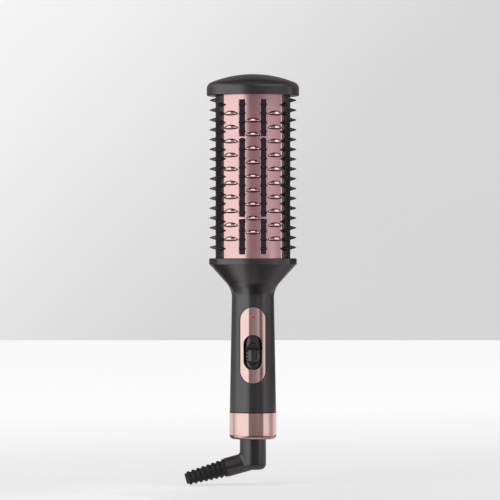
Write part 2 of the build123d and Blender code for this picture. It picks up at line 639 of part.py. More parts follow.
def fin(length):
    """A lens-shaped fin on z = 0, with sloping sides: where two upright cones meet."""
    foot_r = (length**2 + FIN_THICK**2) / (4 * FIN_THICK)
    cone = Cone(foot_r, foot_r - FIN_SLOPE, FIN_RISE, align=BASE)
    shift = foot_r - FIN_THICK / 2
    return (Pos(0, shift, 0) * cone) & (Pos(0, -shift, 0) * cone)


def fins():
    """All fins of one plate: a column either side of the slots and one between them."""
    placed = []
    for k in range(FIN_MID_COUNT):
        placed.append((0.0, FIN_MID_TOP - FIN_PITCH * k, FIN_MID_LENGTH))
    for k in range(FIN_SIDE_COUNT):
        for side in (-1, 1):
            placed.append((side * FIN_SIDE_ANGLE, FIN_SIDE_TOP - FIN_PITCH * k, FIN_SIDE_LENGTH))
    bodies = []
    for angle, z, length in placed:
        bodies.append(Rot(0, 0, angle) * Pos(0, -FIN_FOOT, z) * Rot(90, 0, 0) * fin(length))
    return bodies


def seated_span():
    """The lower and upper ends of a plate or comb, in the seats of the collar and the cap."""
    return COLLAR_TOP - SEAT_DEPTH + SEAT_FIT, BARREL_TOP + SEAT_DEPTH - SEAT_FIT


def heated_plate():
    """One curved heated plate with its fins and its two slotted columns, at the front."""
    body = sector(PLATE_HALF_ANGLE, 0, BARREL_R - SHEET, BARREL_R, *seated_span())
    body += fins()
    half = SLOT_WIDTH / 2
    for x in (-SLOT_X, SLOT_X):
        for index, (low, high) in enumerate(SLOT_SPANS):
            top = high - half if index == ROUND_SLOT else high
            body -= block((x - half, x + half), (-FAR, 0), (low, top))
        body -= along_y(half, x, SLOT_SPANS[ROUND_SLOT][1] - half, -FAR, 0)
    return body


def comb_strip(x):
    """One strip of straight bristles that stand out through a slotted column of the front plate."""
    half = RAIL_WIDTH / 2
    body = block((x - half, x + half), (-RAIL_FRONT, -RAIL_BACK), (RAIL_LOW, RAIL_HIGH))
    tip_y = -math.sqrt(TIP_R**2 - x**2)
    teeth = []
    for z in (ROW_TOP - ROW_PITCH * k for k in range(ROW_COUNT)):
        foot = (x, -RAIL_FRONT + SLOT_TOOTH_ROOT, z)
        teeth.append(tooth(foot, (x, tip_y, z), SLOT_TOOTH_R, TOOTH_TIP_R))
    return body + teeth


def reach_tip(angle, lean):
    """Foot and tip, in plan, of a bristle that starts at an angle and leans to another."""
    foot_r = COMB_R - TOOTH_ROOT
    foot = (foot_r * math.sin(math.radians(angle)), -foot_r * math.cos(math.radians(angle)))
    way = (math.sin(math.radians(lean)), -math.cos(math.radians(lean)))
    along = foot[0] * way[0] + foot[1] * way[1]
    length = -along + math.sqrt(along**2 + TIP_R**2 - foot_r**2)
    return foot, (foot[0] + way[0] * length, foot[1] + way[1] * length)


def side_comb():
    """The comb panel on the +X side: a curved panel with three rows of bristles and its stays."""
    half_angle = 90 - PLATE_HALF_ANGLE - COMB_GAP_ANGLE
    inner = COMB_R - COMB_SHEET
    body = sector(half_angle, 90, inner, COMB_R, *seated_span())
    stay_span = (SPAR_X + SPAR_WIDTH / 2 + SEAT_GAP, inner + COMB_SHEET / 4)
    for z in STAY_HEIGHTS:
        height = (z - STAY_HALF_HEIGHT, z + STAY_HALF_HEIGHT)
        body += block(stay_span, (-STAY_HALF, STAY_HALF), height)
    rows = [
        (SIDE_ROW_ANGLE, SIDE_ROW_LEAN, ROW_TOP, ROW_COUNT, ROW_PITCH),
        (90.0, 90.0, EDGE_ROW_TOP, EDGE_ROW_COUNT, EDGE_ROW_PITCH),
        (180 - SIDE_ROW_ANGLE, 180 - SIDE_ROW_LEAN, ROW_TOP, ROW_COUNT, ROW_PITCH),
    ]
    for angle, lean, top, count, pitch in rows:
        foot, tip = reach_tip(angle, lean)
        heights = [top - pitch * k for k in range(count)]
        body += [tooth((*foot, z), (*tip, z), TOOTH_BASE_R, TOOTH_TIP_R) for z in heights]
    return body


def barrel_frame():
    """The frame of the barrel: two discs and two spars, with seats for the core and the strips."""
    body = ring(DISC_BORE, DISC_R, COLLAR_TOP, COLLAR_TOP + DISC_T)
    body += ring(DISC_BORE, DISC_R, BARREL_TOP - DISC_T, BARREL_TOP)
    half, depth = SPAR_WIDTH / 2, SPAR_DEPTH / 2
    body += at_spars(block((-half, half), (-depth, depth), (COLLAR_TOP + OVER, BARREL_TOP - OVER)))
    body += at_spars(ring(0, SPAR_PIN_R, BARREL_TOP - OVER, SPAR_PIN_TOP))
    body -= at_spars(ring(0, SPAR_PILOT_R, COLLAR_TOP - OVER, COLLAR_TOP + SPAR_PILOT_DEPTH))
    seat = CORE_HALF + SEAT_GAP
    body -= block((-seat, seat), (-FAR, FAR), core_span())
    rail = RAIL_WIDTH / 2 + SEAT_GAP
    near = RAIL_BACK - SEAT_GAP
    height = (RAIL_LOW - SEAT_GAP, RAIL_HIGH + SEAT_GAP)
    for x in (-SLOT_X, SLOT_X):
        for y_span in ((-FAR, -near), (near, FAR)):
            body -= block((x - rail, x + rail), y_span, height)
    return body


def core_span():
    """The lower and upper ends of the heater core, in their seats."""
    return COLLAR_TOP + DISC_T - CORE_SINK, BARREL_TOP - DISC_T + CORE_SINK


def heater_core():
    """The aluminium core that spreads the heat to both plates, with a pocket for the heater."""
    low, high = core_span()
    body = block((-CORE_HALF, CORE_HALF), (-FAR, FAR), (low, high)) & ring(0, CORE_R, low, high)
    pocket = TILE_T / 2 + STRIP_T + FILM_T + BEARING_FIT
    half = TILE_HALF + 2 * SEAT_GAP
    body -= block((-half, half), (-pocket, pocket), (low - OVER, high + OVER))
    for near, far in CHANNELS:
        for y_span in ((near, far), (-far, -near)):
            body -= block((-CHANNEL_HALF, CHANNEL_HALF), y_span, (low - OVER, high + OVER))
    return body


def ptc_tiles():
    """The ceramic heating tiles, in a row."""
    starts = [TILE_FIRST + TILE_PITCH * k for k in range(TILE_COUNT)]
    half_t = TILE_T / 2
    x_span = (-TILE_HALF, TILE_HALF)
    return [block(x_span, (-half_t, half_t), (z, z + TILE_LENGTH)) for z in starts]


def electrode_strips():
    """The two electrodes on the faces of the tiles, each with a tab for its lead."""
    near, far = TILE_T / 2, TILE_T / 2 + STRIP_T
    top = TILE_FIRST + TILE_PITCH * TILE_COUNT - STRIP_OUT + OVER
    strips = []
    for side in (-1, 1):
        y_span = tuple(sorted((side * near, side * far)))
        strip = block((-TILE_HALF, TILE_HALF), y_span, (TILE_FIRST - STRIP_OUT, top))
        tab_span = tuple(sorted((side * TAB_NEAR, side * TAB_FAR)))
        strips.append(strip + block(tab_span, y_span, (TAB_BOTTOM, TILE_FIRST - STRIP_OUT + OVER)))
    return strips


def heater_insulation():
    """The two insulating films between the electrodes and the core."""
    near, far = TILE_T / 2 + STRIP_T, TILE_T / 2 + STRIP_T + FILM_T
    low, high = core_span()
    half = TILE_HALF + SEAT_GAP
    spans = ((near, far), (-far, -near))
    return [block((-half, half), y_span, (low, high)) for y_span in spans]


def thermal_fuse():
    """The thermal fuse in the core's front channel."""
    can = chamfer(Cylinder(FUSE_R, FUSE_LENGTH, align=BASE).edges(), FUSE_EDGE)
    wires = Cylinder(FUSE_WIRE_R, FUSE_LENGTH + 2 * FUSE_WIRE_OUT, align=BASE)
    return Pos(0, -sum(CHANNELS[0]) / 2, SENSOR_Z) * (can + Pos(0, 0, -FUSE_WIRE_OUT) * wires)


def fuse_clip():
    """The spring clip that holds the fuse in its channel."""
    inner = CLIP_R - CLIP_T
    clip = ring(inner, CLIP_R, 0, CLIP_HEIGHT)
    clip -= block((-CLIP_MOUTH / 2, CLIP_MOUTH / 2), (0, FAR), (-OVER, CLIP_HEIGHT + OVER))
    arm_y = (-CLIP_T, CLIP_T)
    for arm_x in ((CLIP_R - CLIP_T / 2, CHANNEL_HALF), (-CHANNEL_HALF, CLIP_T / 2 - CLIP_R)):
        clip += block(arm_x, arm_y, (0, CLIP_HEIGHT))
    middle = SENSOR_Z + (FUSE_LENGTH - CLIP_HEIGHT) / 2
    return Pos(0, -sum(CHANNELS[0]) / 2, middle) * clip


def thermistor():
    """The temperature sensor: a lug against the core with its bead, in the rear channel."""
    near = CHANNELS[0][0]
    lug = block((-LUG_HALF, LUG_HALF), (near, near + LUG_T), (SENSOR_Z, SENSOR_Z + LUG_LENGTH))
    bead_y = near + LUG_T + BEAD_R - BEAD_SINK
    bead_z = SENSOR_Z + (LUG_LENGTH - BEAD_LENGTH) / 2
    return lug + Pos(0, bead_y, bead_z) * Cylinder(BEAD_R, BEAD_LENGTH, align=BASE)


def heater_leads():
    """The two leads from the board to the electrodes' tabs."""
    leads = []
    for side in (-1, 1):
        x = side * HEATER_LEAD_X
        tab_y = side * (TILE_T + STRIP_T) / 2
        board_end = [(x, BOARD_BACK, HEATER_LEAD_Z), (x, LEAD_LINE_Y, HEATER_LEAD_Z)]
        tab_end = [(x, LEAD_LINE_Y, TAB_BOTTOM - 4 * LEAD_BEND), (x, tab_y, TAB_BOTTOM)]
        leads.append(lead(board_end + tab_end, LEAD_BEND))
    return leads


# ---------------------------------------------------------------- assembly


def turned_round(body):
    """The same piece half a turn about the axis."""
    return Rot(0, 0, 180) * body


def write(nodes):
    """Write each node as a STEP file of one solid, or of a group of separate solids."""
    os.makedirs("parts", exist_ok=True)
    for name, body in nodes.items():
        group = body if isinstance(body, list) else [body]
        solids = [solid for piece in group for solid in piece.solids()]
        shape = solids[0] if len(solids) == 1 else Compound(children=solids)
        export_step(shape, f"parts/{name}.step")


def main():
    """Make every piece and write it."""
    plate = heated_plate()
    comb = side_comb()
    left_strip, right_strip = comb_strip(-SLOT_X), comb_strip(SLOT_X)
    write(
        {
            "tip_cap": tip_cap(),
            "heated_plate_front": plate,
            "heated_plate_rear": turned_round(plate),
            "side_comb_right": comb,
            "side_comb_left": turned_round(comb),
            "comb_strip_front_left": left_strip,
            "comb_strip_front_right": right_strip,
            "comb_strip_rear_left": turned_round(right_strip),
            "comb_strip_rear_right": turned_round(left_strip),
            "barrel_frame": barrel_frame(),
            "heater_core": heater_core(),
            "ptc_tiles": ptc_tiles(),
            "electrode_strips": electrode_strips(),
            "heater_insulation": heater_insulation(),
            "thermal_fuse": thermal_fuse(),
            "fuse_clip": fuse_clip(),
            "thermistor": thermistor(),
            "heater_leads": heater_leads(),
            "barrel_screws": barrel_screws(),
            "neck_collar": neck_collar(),
            "handle_front_shell": front_shell(),
            "handle_rear_shell": rear_shell(),
            "shell_screws": shell_screws(),
            "screw_plugs": screw_plugs(),
            "control_plate": control_plate(),
            "switch_thumb": thumb_piece(),
            "switch_shutter": shutter(),
            "slide_switch": slide_switch(),
            "control_board": control_board(),
            "board_screws": board_screws(),
            "status_led": status_led(),
            "led_lens": led_lens(),
            "triac": triac(),
            "capacitor": capacitor(),
            "supply_leads": supply_leads(),
            "contact_block": contact_block(),
            "contact_springs": contact_springs(),
            "end_ring": end_ring(),
            "swivel_bush": swivel_bush(),
            "thrust_washer": thrust_washer(),
            "swivel_elbow": swivel_elbow(),
            "strain_relief": strain_relief(),
            "slip_ring_drum": slip_ring_drum(),
            "slip_rings": slip_rings(),
        }
    )


main()
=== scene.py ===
"""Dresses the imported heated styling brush: finishes, detailed pieces, studio and camera."""

import json
import logging
import math
from collections.abc import Callable, Iterable, Sequence
from dataclasses import dataclass
from enum import Enum

import bmesh
import bpy
from mathutils import Matrix, Vector, geometry, kdtree


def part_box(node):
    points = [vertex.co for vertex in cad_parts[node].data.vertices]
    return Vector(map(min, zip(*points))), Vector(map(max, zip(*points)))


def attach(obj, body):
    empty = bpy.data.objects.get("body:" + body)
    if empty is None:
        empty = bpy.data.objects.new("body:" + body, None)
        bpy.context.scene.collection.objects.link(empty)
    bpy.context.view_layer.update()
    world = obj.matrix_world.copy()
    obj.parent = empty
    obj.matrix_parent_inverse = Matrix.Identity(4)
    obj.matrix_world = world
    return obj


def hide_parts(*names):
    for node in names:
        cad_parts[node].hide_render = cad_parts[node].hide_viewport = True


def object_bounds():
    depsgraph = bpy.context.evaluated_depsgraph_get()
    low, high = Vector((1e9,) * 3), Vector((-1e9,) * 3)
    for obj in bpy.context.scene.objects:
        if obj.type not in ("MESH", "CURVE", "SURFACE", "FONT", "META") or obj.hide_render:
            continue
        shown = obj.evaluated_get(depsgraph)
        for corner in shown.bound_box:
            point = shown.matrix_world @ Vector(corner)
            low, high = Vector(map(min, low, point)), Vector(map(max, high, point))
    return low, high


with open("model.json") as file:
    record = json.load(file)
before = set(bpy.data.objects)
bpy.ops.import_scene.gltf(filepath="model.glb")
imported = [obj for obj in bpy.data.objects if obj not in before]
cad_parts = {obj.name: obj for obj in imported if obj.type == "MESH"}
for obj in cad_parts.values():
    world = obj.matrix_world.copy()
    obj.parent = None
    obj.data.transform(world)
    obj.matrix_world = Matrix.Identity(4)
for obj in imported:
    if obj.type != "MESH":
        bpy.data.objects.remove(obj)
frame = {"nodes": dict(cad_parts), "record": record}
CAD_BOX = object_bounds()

log = logging.getLogger("styling_brush")
MM = 0.001
WELD_GAP = 0.002
SLIVER = 0.001
MATCH_GAP = 0.01
FILL_FINENESS = 1e-5
NOISE_LOW, NOISE_HIGH = 0.3, 0.7
NOISE_ROUGHNESS = 0.55

Point = tuple[float, float, float]
Colour = tuple[float, float, float]
Pair = tuple[float, float]
Stations = tuple[Pair, ...]


class Body(Enum):
    """The moving bodies that a piece can ride on."""

    HANDLE = "handle"
    SWITCH = "switch"
    SWIVEL = "swivel"


# ---------------------------------------------------------------- finishes


class NodeSheet:
    """A short way to write one material's nodes."""

    def __init__(self, name: str) -> None:
        """Make an empty material with a Principled surface.

        Args:
            name: the material's name.
        """
        self.material = bpy.data.materials.new(name)
        self.material.use_nodes = True
        self.tree = self.material.node_tree
        self.shader = self.tree.nodes["Principled BSDF"]

    def add(self, kind: str, **values: object) -> bpy.types.Node:
        """Add a node and set its properties and inputs by name.

        Args:
            kind: the node's type name.
            **values: property names, or input names with spaces as underscores.

        Returns:
            The new node.
        """
        node = self.tree.nodes.new(kind)
        for key, value in values.items():
            if hasattr(node, key):
                setattr(node, key, value)
            else:
                node.inputs[key.replace("_", " ")].default_value = value
        return node

    def join(self, start: bpy.types.NodeSocket, end: bpy.types.NodeSocket) -> None:
        """Link two sockets."""
        self.tree.links.new(start, end)

    def noise(self, scale: float, detail: float, stretch: Point = (1.0, 1.0, 1.0)) -> bpy.types.NodeSocket:
        """Noise in the piece's own coordinates.

        Args:
            scale: noise cells per metre.
            detail: octaves.
            stretch: scale along each axis, to draw the grain out.

        Returns:
            The noise value's socket.
        """
        place = self.add("ShaderNodeTexCoord")
        mapping = self.add("ShaderNodeMapping", Scale=stretch)
        noise = self.add("ShaderNodeTexNoise", Scale=scale, Detail=detail, Roughness=NOISE_ROUGHNESS)
        self.join(place.outputs["Object"], mapping.inputs["Vector"])
        self.join(mapping.outputs["Vector"], noise.inputs["Vector"])
        return noise.outputs["Fac"]

    def spread(self, source: bpy.types.NodeSocket, low: float, high: float) -> bpy.types.NodeSocket:
        """Map a noise value to a range.

        Args:
            source: the value to map.
            low: result where the noise is low.
            high: result where the noise is high.

        Returns:
            The mapped value's socket.
        """
        ranged = self.add("ShaderNodeMapRange", From_Min=NOISE_LOW, From_Max=NOISE_HIGH, To_Min=low,
                          To_Max=high)
        self.join(source, ranged.inputs["Value"])
        return ranged.outputs["Result"]

    def tint(self, source: bpy.types.NodeSocket, first: Colour, second: Colour) -> bpy.types.NodeSocket:
        """Fade between two colours by a value.

        Args:
            source: the value, from 0 to 1.
            first: colour at NOISE_LOW and below.
            second: colour at NOISE_HIGH and above.

        Returns:
            The colour's socket.
        """
        ramp = self.add("ShaderNodeValToRGB")
        ramp.color_ramp.elements[0].position = NOISE_LOW
        ramp.color_ramp.elements[0].color = (*first, 1.0)
        ramp.color_ramp.elements[1].position = NOISE_HIGH
        ramp.color_ramp.elements[1].color = (*second, 1.0)
        self.join(source, ramp.inputs["Fac"])
        return ramp.outputs["Color"]

    def bump(self, height: bpy.types.NodeSocket, distance: float, strength: float) -> None:
        """Drive the surface normal by a height.

        Args:
            height: the height's socket, from 0 to 1.
            distance: the height of 1, in metres.
            strength: how strongly the bump shows.
        """
        node = self.add("ShaderNodeBump", Strength=strength, Distance=distance)
        self.join(height, node.inputs["Height"])
        self.join(node.outputs["Normal"], self.shader.inputs["Normal"])


def shade_of(colour: Colour, factor: float) -> Colour:
    """The colour, lighter or darker by a factor."""
    return tuple(min(1.0, channel * factor) for channel in colour)


@dataclass(frozen=True)
class Finish:
    """A surface finish: its colour, its gloss and the grain that real samples of it show."""

    name: str
    colour: Colour
    roughness: float
    gloss_spread: float = 0.04
    colour_spread: float = 0.12
    metallic: float = 0.0
    specular: float = 0.5
    ior: float = 1.5
    coat: float = 0.0
    coat_roughness: float = 0.1
    grain_scale: float = 2600.0
    grain_height: float = 0.00002
    grain_strength: float = 0.12
    cloud_scale: float = 90.0
    stretch: Point = (1.0, 1.0, 1.0)
    # painted shade: the colour that marked points fade to, for shade in hollows and gaps
    painted_shade: Colour | None = None

    def build(self) -> bpy.types.Material:
        """Make the material.

        Returns:
            A procedural material with a varied colour, varied gloss and a fine grain.
        """
        sheet = NodeSheet(self.name)
        shader = sheet.shader
        shader.inputs["Metallic"].default_value = self.metallic
        shader.inputs["Specular IOR Level"].default_value = self.specular
        shader.inputs["IOR"].default_value = self.ior
        shader.inputs["Coat Weight"].default_value = self.coat
        shader.inputs["Coat Roughness"].default_value = self.coat_roughness
        clouds = sheet.noise(self.cloud_scale, 3.0, self.stretch)
        dark = shade_of(self.colour, 1 - self.colour_spread)
        light = shade_of(self.colour, 1 + self.colour_spread)
        colour = sheet.tint(clouds, dark, light)
        # painted shade, faded in where the mesh marks it
        if self.painted_shade:
            colour = self.paint_shade(sheet, colour)
        sheet.join(colour, shader.inputs["Base Color"])
        low, high = self.roughness - self.gloss_spread / 2, self.roughness + self.gloss_spread / 2
        sheet.join(sheet.spread(clouds, low, high), shader.inputs["Roughness"])
        grain = sheet.noise(self.grain_scale, 2.0, self.stretch)
        sheet.bump(grain, self.grain_height, self.grain_strength)
        return sheet.material

    def paint_shade(self, sheet: NodeSheet, colour: bpy.types.NodeSocket) -> bpy.types.NodeSocket:
        """Fade the colour to the painted shade of the marked points.

        Args:
            sheet: the material's nodes.
            colour: the colour without painted shade.

        Returns:
            The faded colour's socket.
        """
        mark = sheet.add("ShaderNodeAttribute", attribute_name="painted_shade")
        fade = sheet.add("ShaderNodeMixRGB")
        fade.inputs["Color2"].default_value = (*self.painted_shade, 1.0)
        sheet.join(mark.outputs["Fac"], fade.inputs["Fac"])
        sheet.join(colour, fade.inputs["Color1"])
        return fade.outputs["Color"]


@dataclass(frozen=True)
class LensFinish:
    """Clear red moulded plastic for the indicator; its red heart fading to a pale pink rim is painted glow
    of the lit light.
    """

    name: str
    # painted glow of the lit light: heart at the lens's axis, rim at its edge
    heart: Colour
    rim: Colour
    centre: Point
    radius: float
    roughness: float = 0.12
    coat: float = 0.6
    glow_depth: float = 0.15
    glow_reach: Point = (0.002, 0.0005, 0.0005)
    grain_scale: float = 1500.0
    grain_height: float = 0.00001
    grain_strength: float = 0.08

    def build(self) -> bpy.types.Material:
        """Make the material.

        Returns:
            A glossy red whose colour deepens towards the lens's own axis, a painted glow of the lit light.
        """
        sheet = NodeSheet(self.name)
        place = sheet.add("ShaderNodeTexCoord")
        shift = sheet.add("ShaderNodeVectorMath", operation="SUBTRACT")
        shift.inputs[1].default_value = self.centre
        flat = sheet.add("ShaderNodeVectorMath", operation="MULTIPLY")
        flat.inputs[1].default_value = (1.0, 0.0, 1.0)
        length = sheet.add("ShaderNodeVectorMath", operation="LENGTH")
        sheet.join(place.outputs["Object"], shift.inputs[0])
        sheet.join(shift.outputs["Vector"], flat.inputs[0])
        sheet.join(flat.outputs["Vector"], length.inputs[0])
        ranged = sheet.add("ShaderNodeMapRange", From_Min=0.0, From_Max=self.radius, To_Min=0.0, To_Max=1.0)
        sheet.join(length.outputs["Value"], ranged.inputs["Value"])
        blend = sheet.tint(ranged.outputs["Result"], self.heart, self.rim)
        sheet.join(blend, sheet.shader.inputs["Base Color"])
        sheet.shader.inputs["Roughness"].default_value = self.roughness
        sheet.shader.inputs["Coat Weight"].default_value = self.coat
        sheet.shader.inputs["Subsurface Weight"].default_value = self.glow_depth
        sheet.shader.inputs["Subsurface Radius"].default_value = self.glow_reach
        sheet.bump(sheet.noise(self.grain_scale, 2.0), self.grain_height, self.grain_strength)
        return sheet.material


class FinishBook:
    """Every finish of the brush, made once and handed out by the record's slot name."""

    ROSE_GOLD: Colour = (0.91, 0.65, 0.60)
    PLATE_GOLD: Colour = (0.905, 0.61, 0.59)
    # painted shade: the dark maroon of the fins' hollow feet and undersides and of the gaps at plate and
    # ring edges
    PAINTED_SHADE: Colour = (0.085, 0.022, 0.034)

    def __init__(self) -> None:
        """Make all finishes."""
        finishes = [
            Finish("black_satin_plastic", (0.0060, 0.0052, 0.0054), 0.27, specular=1.0, ior=1.66, coat=0.15,
                   coat_roughness=0.2, grain_strength=0.03),
            # both rose golds take the painted shade at marked points
            Finish("rose_gold_plate", self.PLATE_GOLD, 0.13, 0.03, 0.03, metallic=1.0, grain_scale=900.0,
                   grain_height=0.000012, grain_strength=0.05, cloud_scale=60.0, painted_shade=self.PAINTED_SHADE),
            Finish("rose_gold_trim", self.ROSE_GOLD, 0.075, 0.03, 0.03, metallic=1.0, grain_scale=900.0,
                   grain_height=0.00001, grain_strength=0.04, cloud_scale=60.0, painted_shade=self.PAINTED_SHADE),
            Finish("black_comb_plastic", (0.0060, 0.0056, 0.0058), 0.26, specular=1.0, ior=1.6,
                   grain_strength=0.04),
            Finish("frame_plastic", (0.045, 0.045, 0.046), 0.55, grain_strength=0.25),
            Finish("core_aluminium", (0.78, 0.78, 0.79), 0.32, metallic=1.0, stretch=(1.0, 1.0, 0.02)),
            Finish("ceramic", (0.52, 0.52, 0.49), 0.6, grain_strength=0.3),
            Finish("brass_contact", (0.78, 0.58, 0.27), 0.24, metallic=1.0),
            Finish("insulating_film", (0.62, 0.27, 0.04), 0.2, coat=0.4),
            Finish("fuse_metal", (0.70, 0.69, 0.66), 0.28, metallic=1.0),
            Finish("spring_steel", (0.58, 0.58, 0.60), 0.3, metallic=1.0),
            Finish("sensor_metal", (0.64, 0.63, 0.60), 0.34, metallic=1.0),
            Finish("lead_insulation", (0.70, 0.69, 0.65), 0.5, grain_strength=0.2),
            Finish("screw_steel", (0.55, 0.55, 0.56), 0.3, metallic=1.0),
            Finish("black_switch_plastic", (0.0060, 0.0056, 0.0058), 0.22, specular=1.0, ior=1.64, coat=0.15,
                   grain_strength=0.03),
            Finish("switch_can", (0.66, 0.66, 0.66), 0.3, metallic=1.0),
            Finish("board_laminate", (0.03, 0.19, 0.08), 0.3, coat=0.3, cloud_scale=400.0),
            Finish("led_epoxy", (0.72, 0.09, 0.07), 0.2, coat=0.5),
            Finish("component_black", (0.025, 0.025, 0.026), 0.45, grain_strength=0.25),
            Finish("component_blue", (0.04, 0.11, 0.32), 0.22, coat=0.3),
            Finish("bearing_plastic", (0.80, 0.80, 0.77), 0.4),
            Finish("soft_black_rubber", (0.0170, 0.0165, 0.0165), 0.42, specular=0.6, grain_strength=0.3),
        ]
        low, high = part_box("led_lens")
        middle = (low + high) / 2
        # painted glow: the bright red heart fading to a pale pink rim stands for the lit light
        lens = LensFinish("red_lens", (0.90, 0.055, 0.09), (0.92, 0.36, 0.42), tuple(middle), 1.9 * MM)
        self.materials: dict[str, bpy.types.Material] = {f.name: f.build() for f in finishes}
        self.materials[lens.name] = lens.build()

    def dress(self, piece: bpy.types.Object, slot: str) -> None:
        """Give a piece one finish.

        Args:
            piece: the object to dress.
            slot: the record's material slot.
        """
        piece.data.materials.clear()
        piece.data.materials.append(self.materials[slot])

    def dress_cad(self) -> None:
        """Give every CAD node the finish that the record names for it."""
        for entry in frame["record"]["subparts"]:
            node = frame["nodes"][entry["node"]]
            for index in range(max(1, len(node.material_slots))):
                if not node.material_slots:
                    node.data.materials.append(None)
                node.material_slots[index].material = self.materials[entry["material_slot"]]
            log.info("CAD node %s in %s", entry["node"], entry["material_slot"])


# ---------------------------------------------------------------- building meshes


def rounded_section(corners: Sequence[Point], steps: int = 5) -> list[Pair]:
    """A closed section with its corners rounded.

    Args:
        corners: radius, height and rounding of each corner, in millimetres.
        steps: stretches on each rounded corner.

    Returns:
        The section's points, as radius and height.
    """
    section: list[Pair] = []
    for index, (radius, height, rounding) in enumerate(corners):
        here = Vector((radius, height))
        if rounding <= 0:
            section.append((radius, height))
            continue
        back = (Vector(corners[index - 1][:2]) - here).normalized()
        ahead = (Vector(corners[(index + 1) % len(corners)][:2]) - here).normalized()
        half = back.angle(ahead) / 2
        middle = here + (back + ahead).normalized() * rounding / math.sin(half)
        first = here + back * rounding / math.tan(half) - middle
        last = here + ahead * rounding / math.tan(half) - middle
        opening = math.atan2(first.y, first.x)
        turn = (math.atan2(last.y, last.x) - opening + math.pi) % math.tau - math.pi
        for step in range(steps + 1):
            angle = opening + turn * step / steps
            section.append((middle.x + rounding * math.cos(angle), middle.y + rounding * math.sin(angle)))
    return section


def arc(centre: Pair, radius: float, start: float, end: float, steps: int) -> list[Pair]:
    """Points on an arc, for a section.

    Args:
        centre: the arc's middle, as radius and height.
        radius: the arc's radius.
        start: first angle, in degrees.
        end: last angle, in degrees.
        steps: stretches on the arc.

    Returns:
        The points from start to end.
    """
    angles = [math.radians(start + (end - start) * step / steps) for step in range(steps + 1)]
    return [(centre[0] + radius * math.cos(a), centre[1] + radius * math.sin(a)) for a in angles]


def stadium(middle: Pair, width: float, length: float, corners: Pair, steps: int,
            across: int = 1) -> list[Vector]:
    """A closed outline with rounded corners.

    Args:
        middle: across and up, of its centre.
        width: full width.
        length: full length, upright.
        corners: radius of its lower and of its upper corners, half the width for a true stadium.
        steps: stretches on each corner.
        across: stretches on each of its lower and upper runs.

    Returns:
        The outline's points, anticlockwise from the lower right corner.
    """
    points: list[Vector] = []
    for quarter, (side, end) in enumerate(((1, -1), (1, 1), (-1, 1), (-1, -1))):
        corner = max(min(corners[end > 0], width / 2, length / 2), 0.001)
        centre = Vector((middle[0] + side * (width / 2 - corner), middle[1] + end * (length / 2 - corner)))
        for step in range(steps + 1):
            angle = math.radians(-90 + 90 * quarter + 90 * step / steps)
            points.append(centre + corner * Vector((math.cos(angle), math.sin(angle))))
        if side == end:
            last, run = points[-1], -side * (width - 2 * corner)
            points.extend([last + Vector((run * step / across, 0.0)) for step in range(1, across)])
    return points


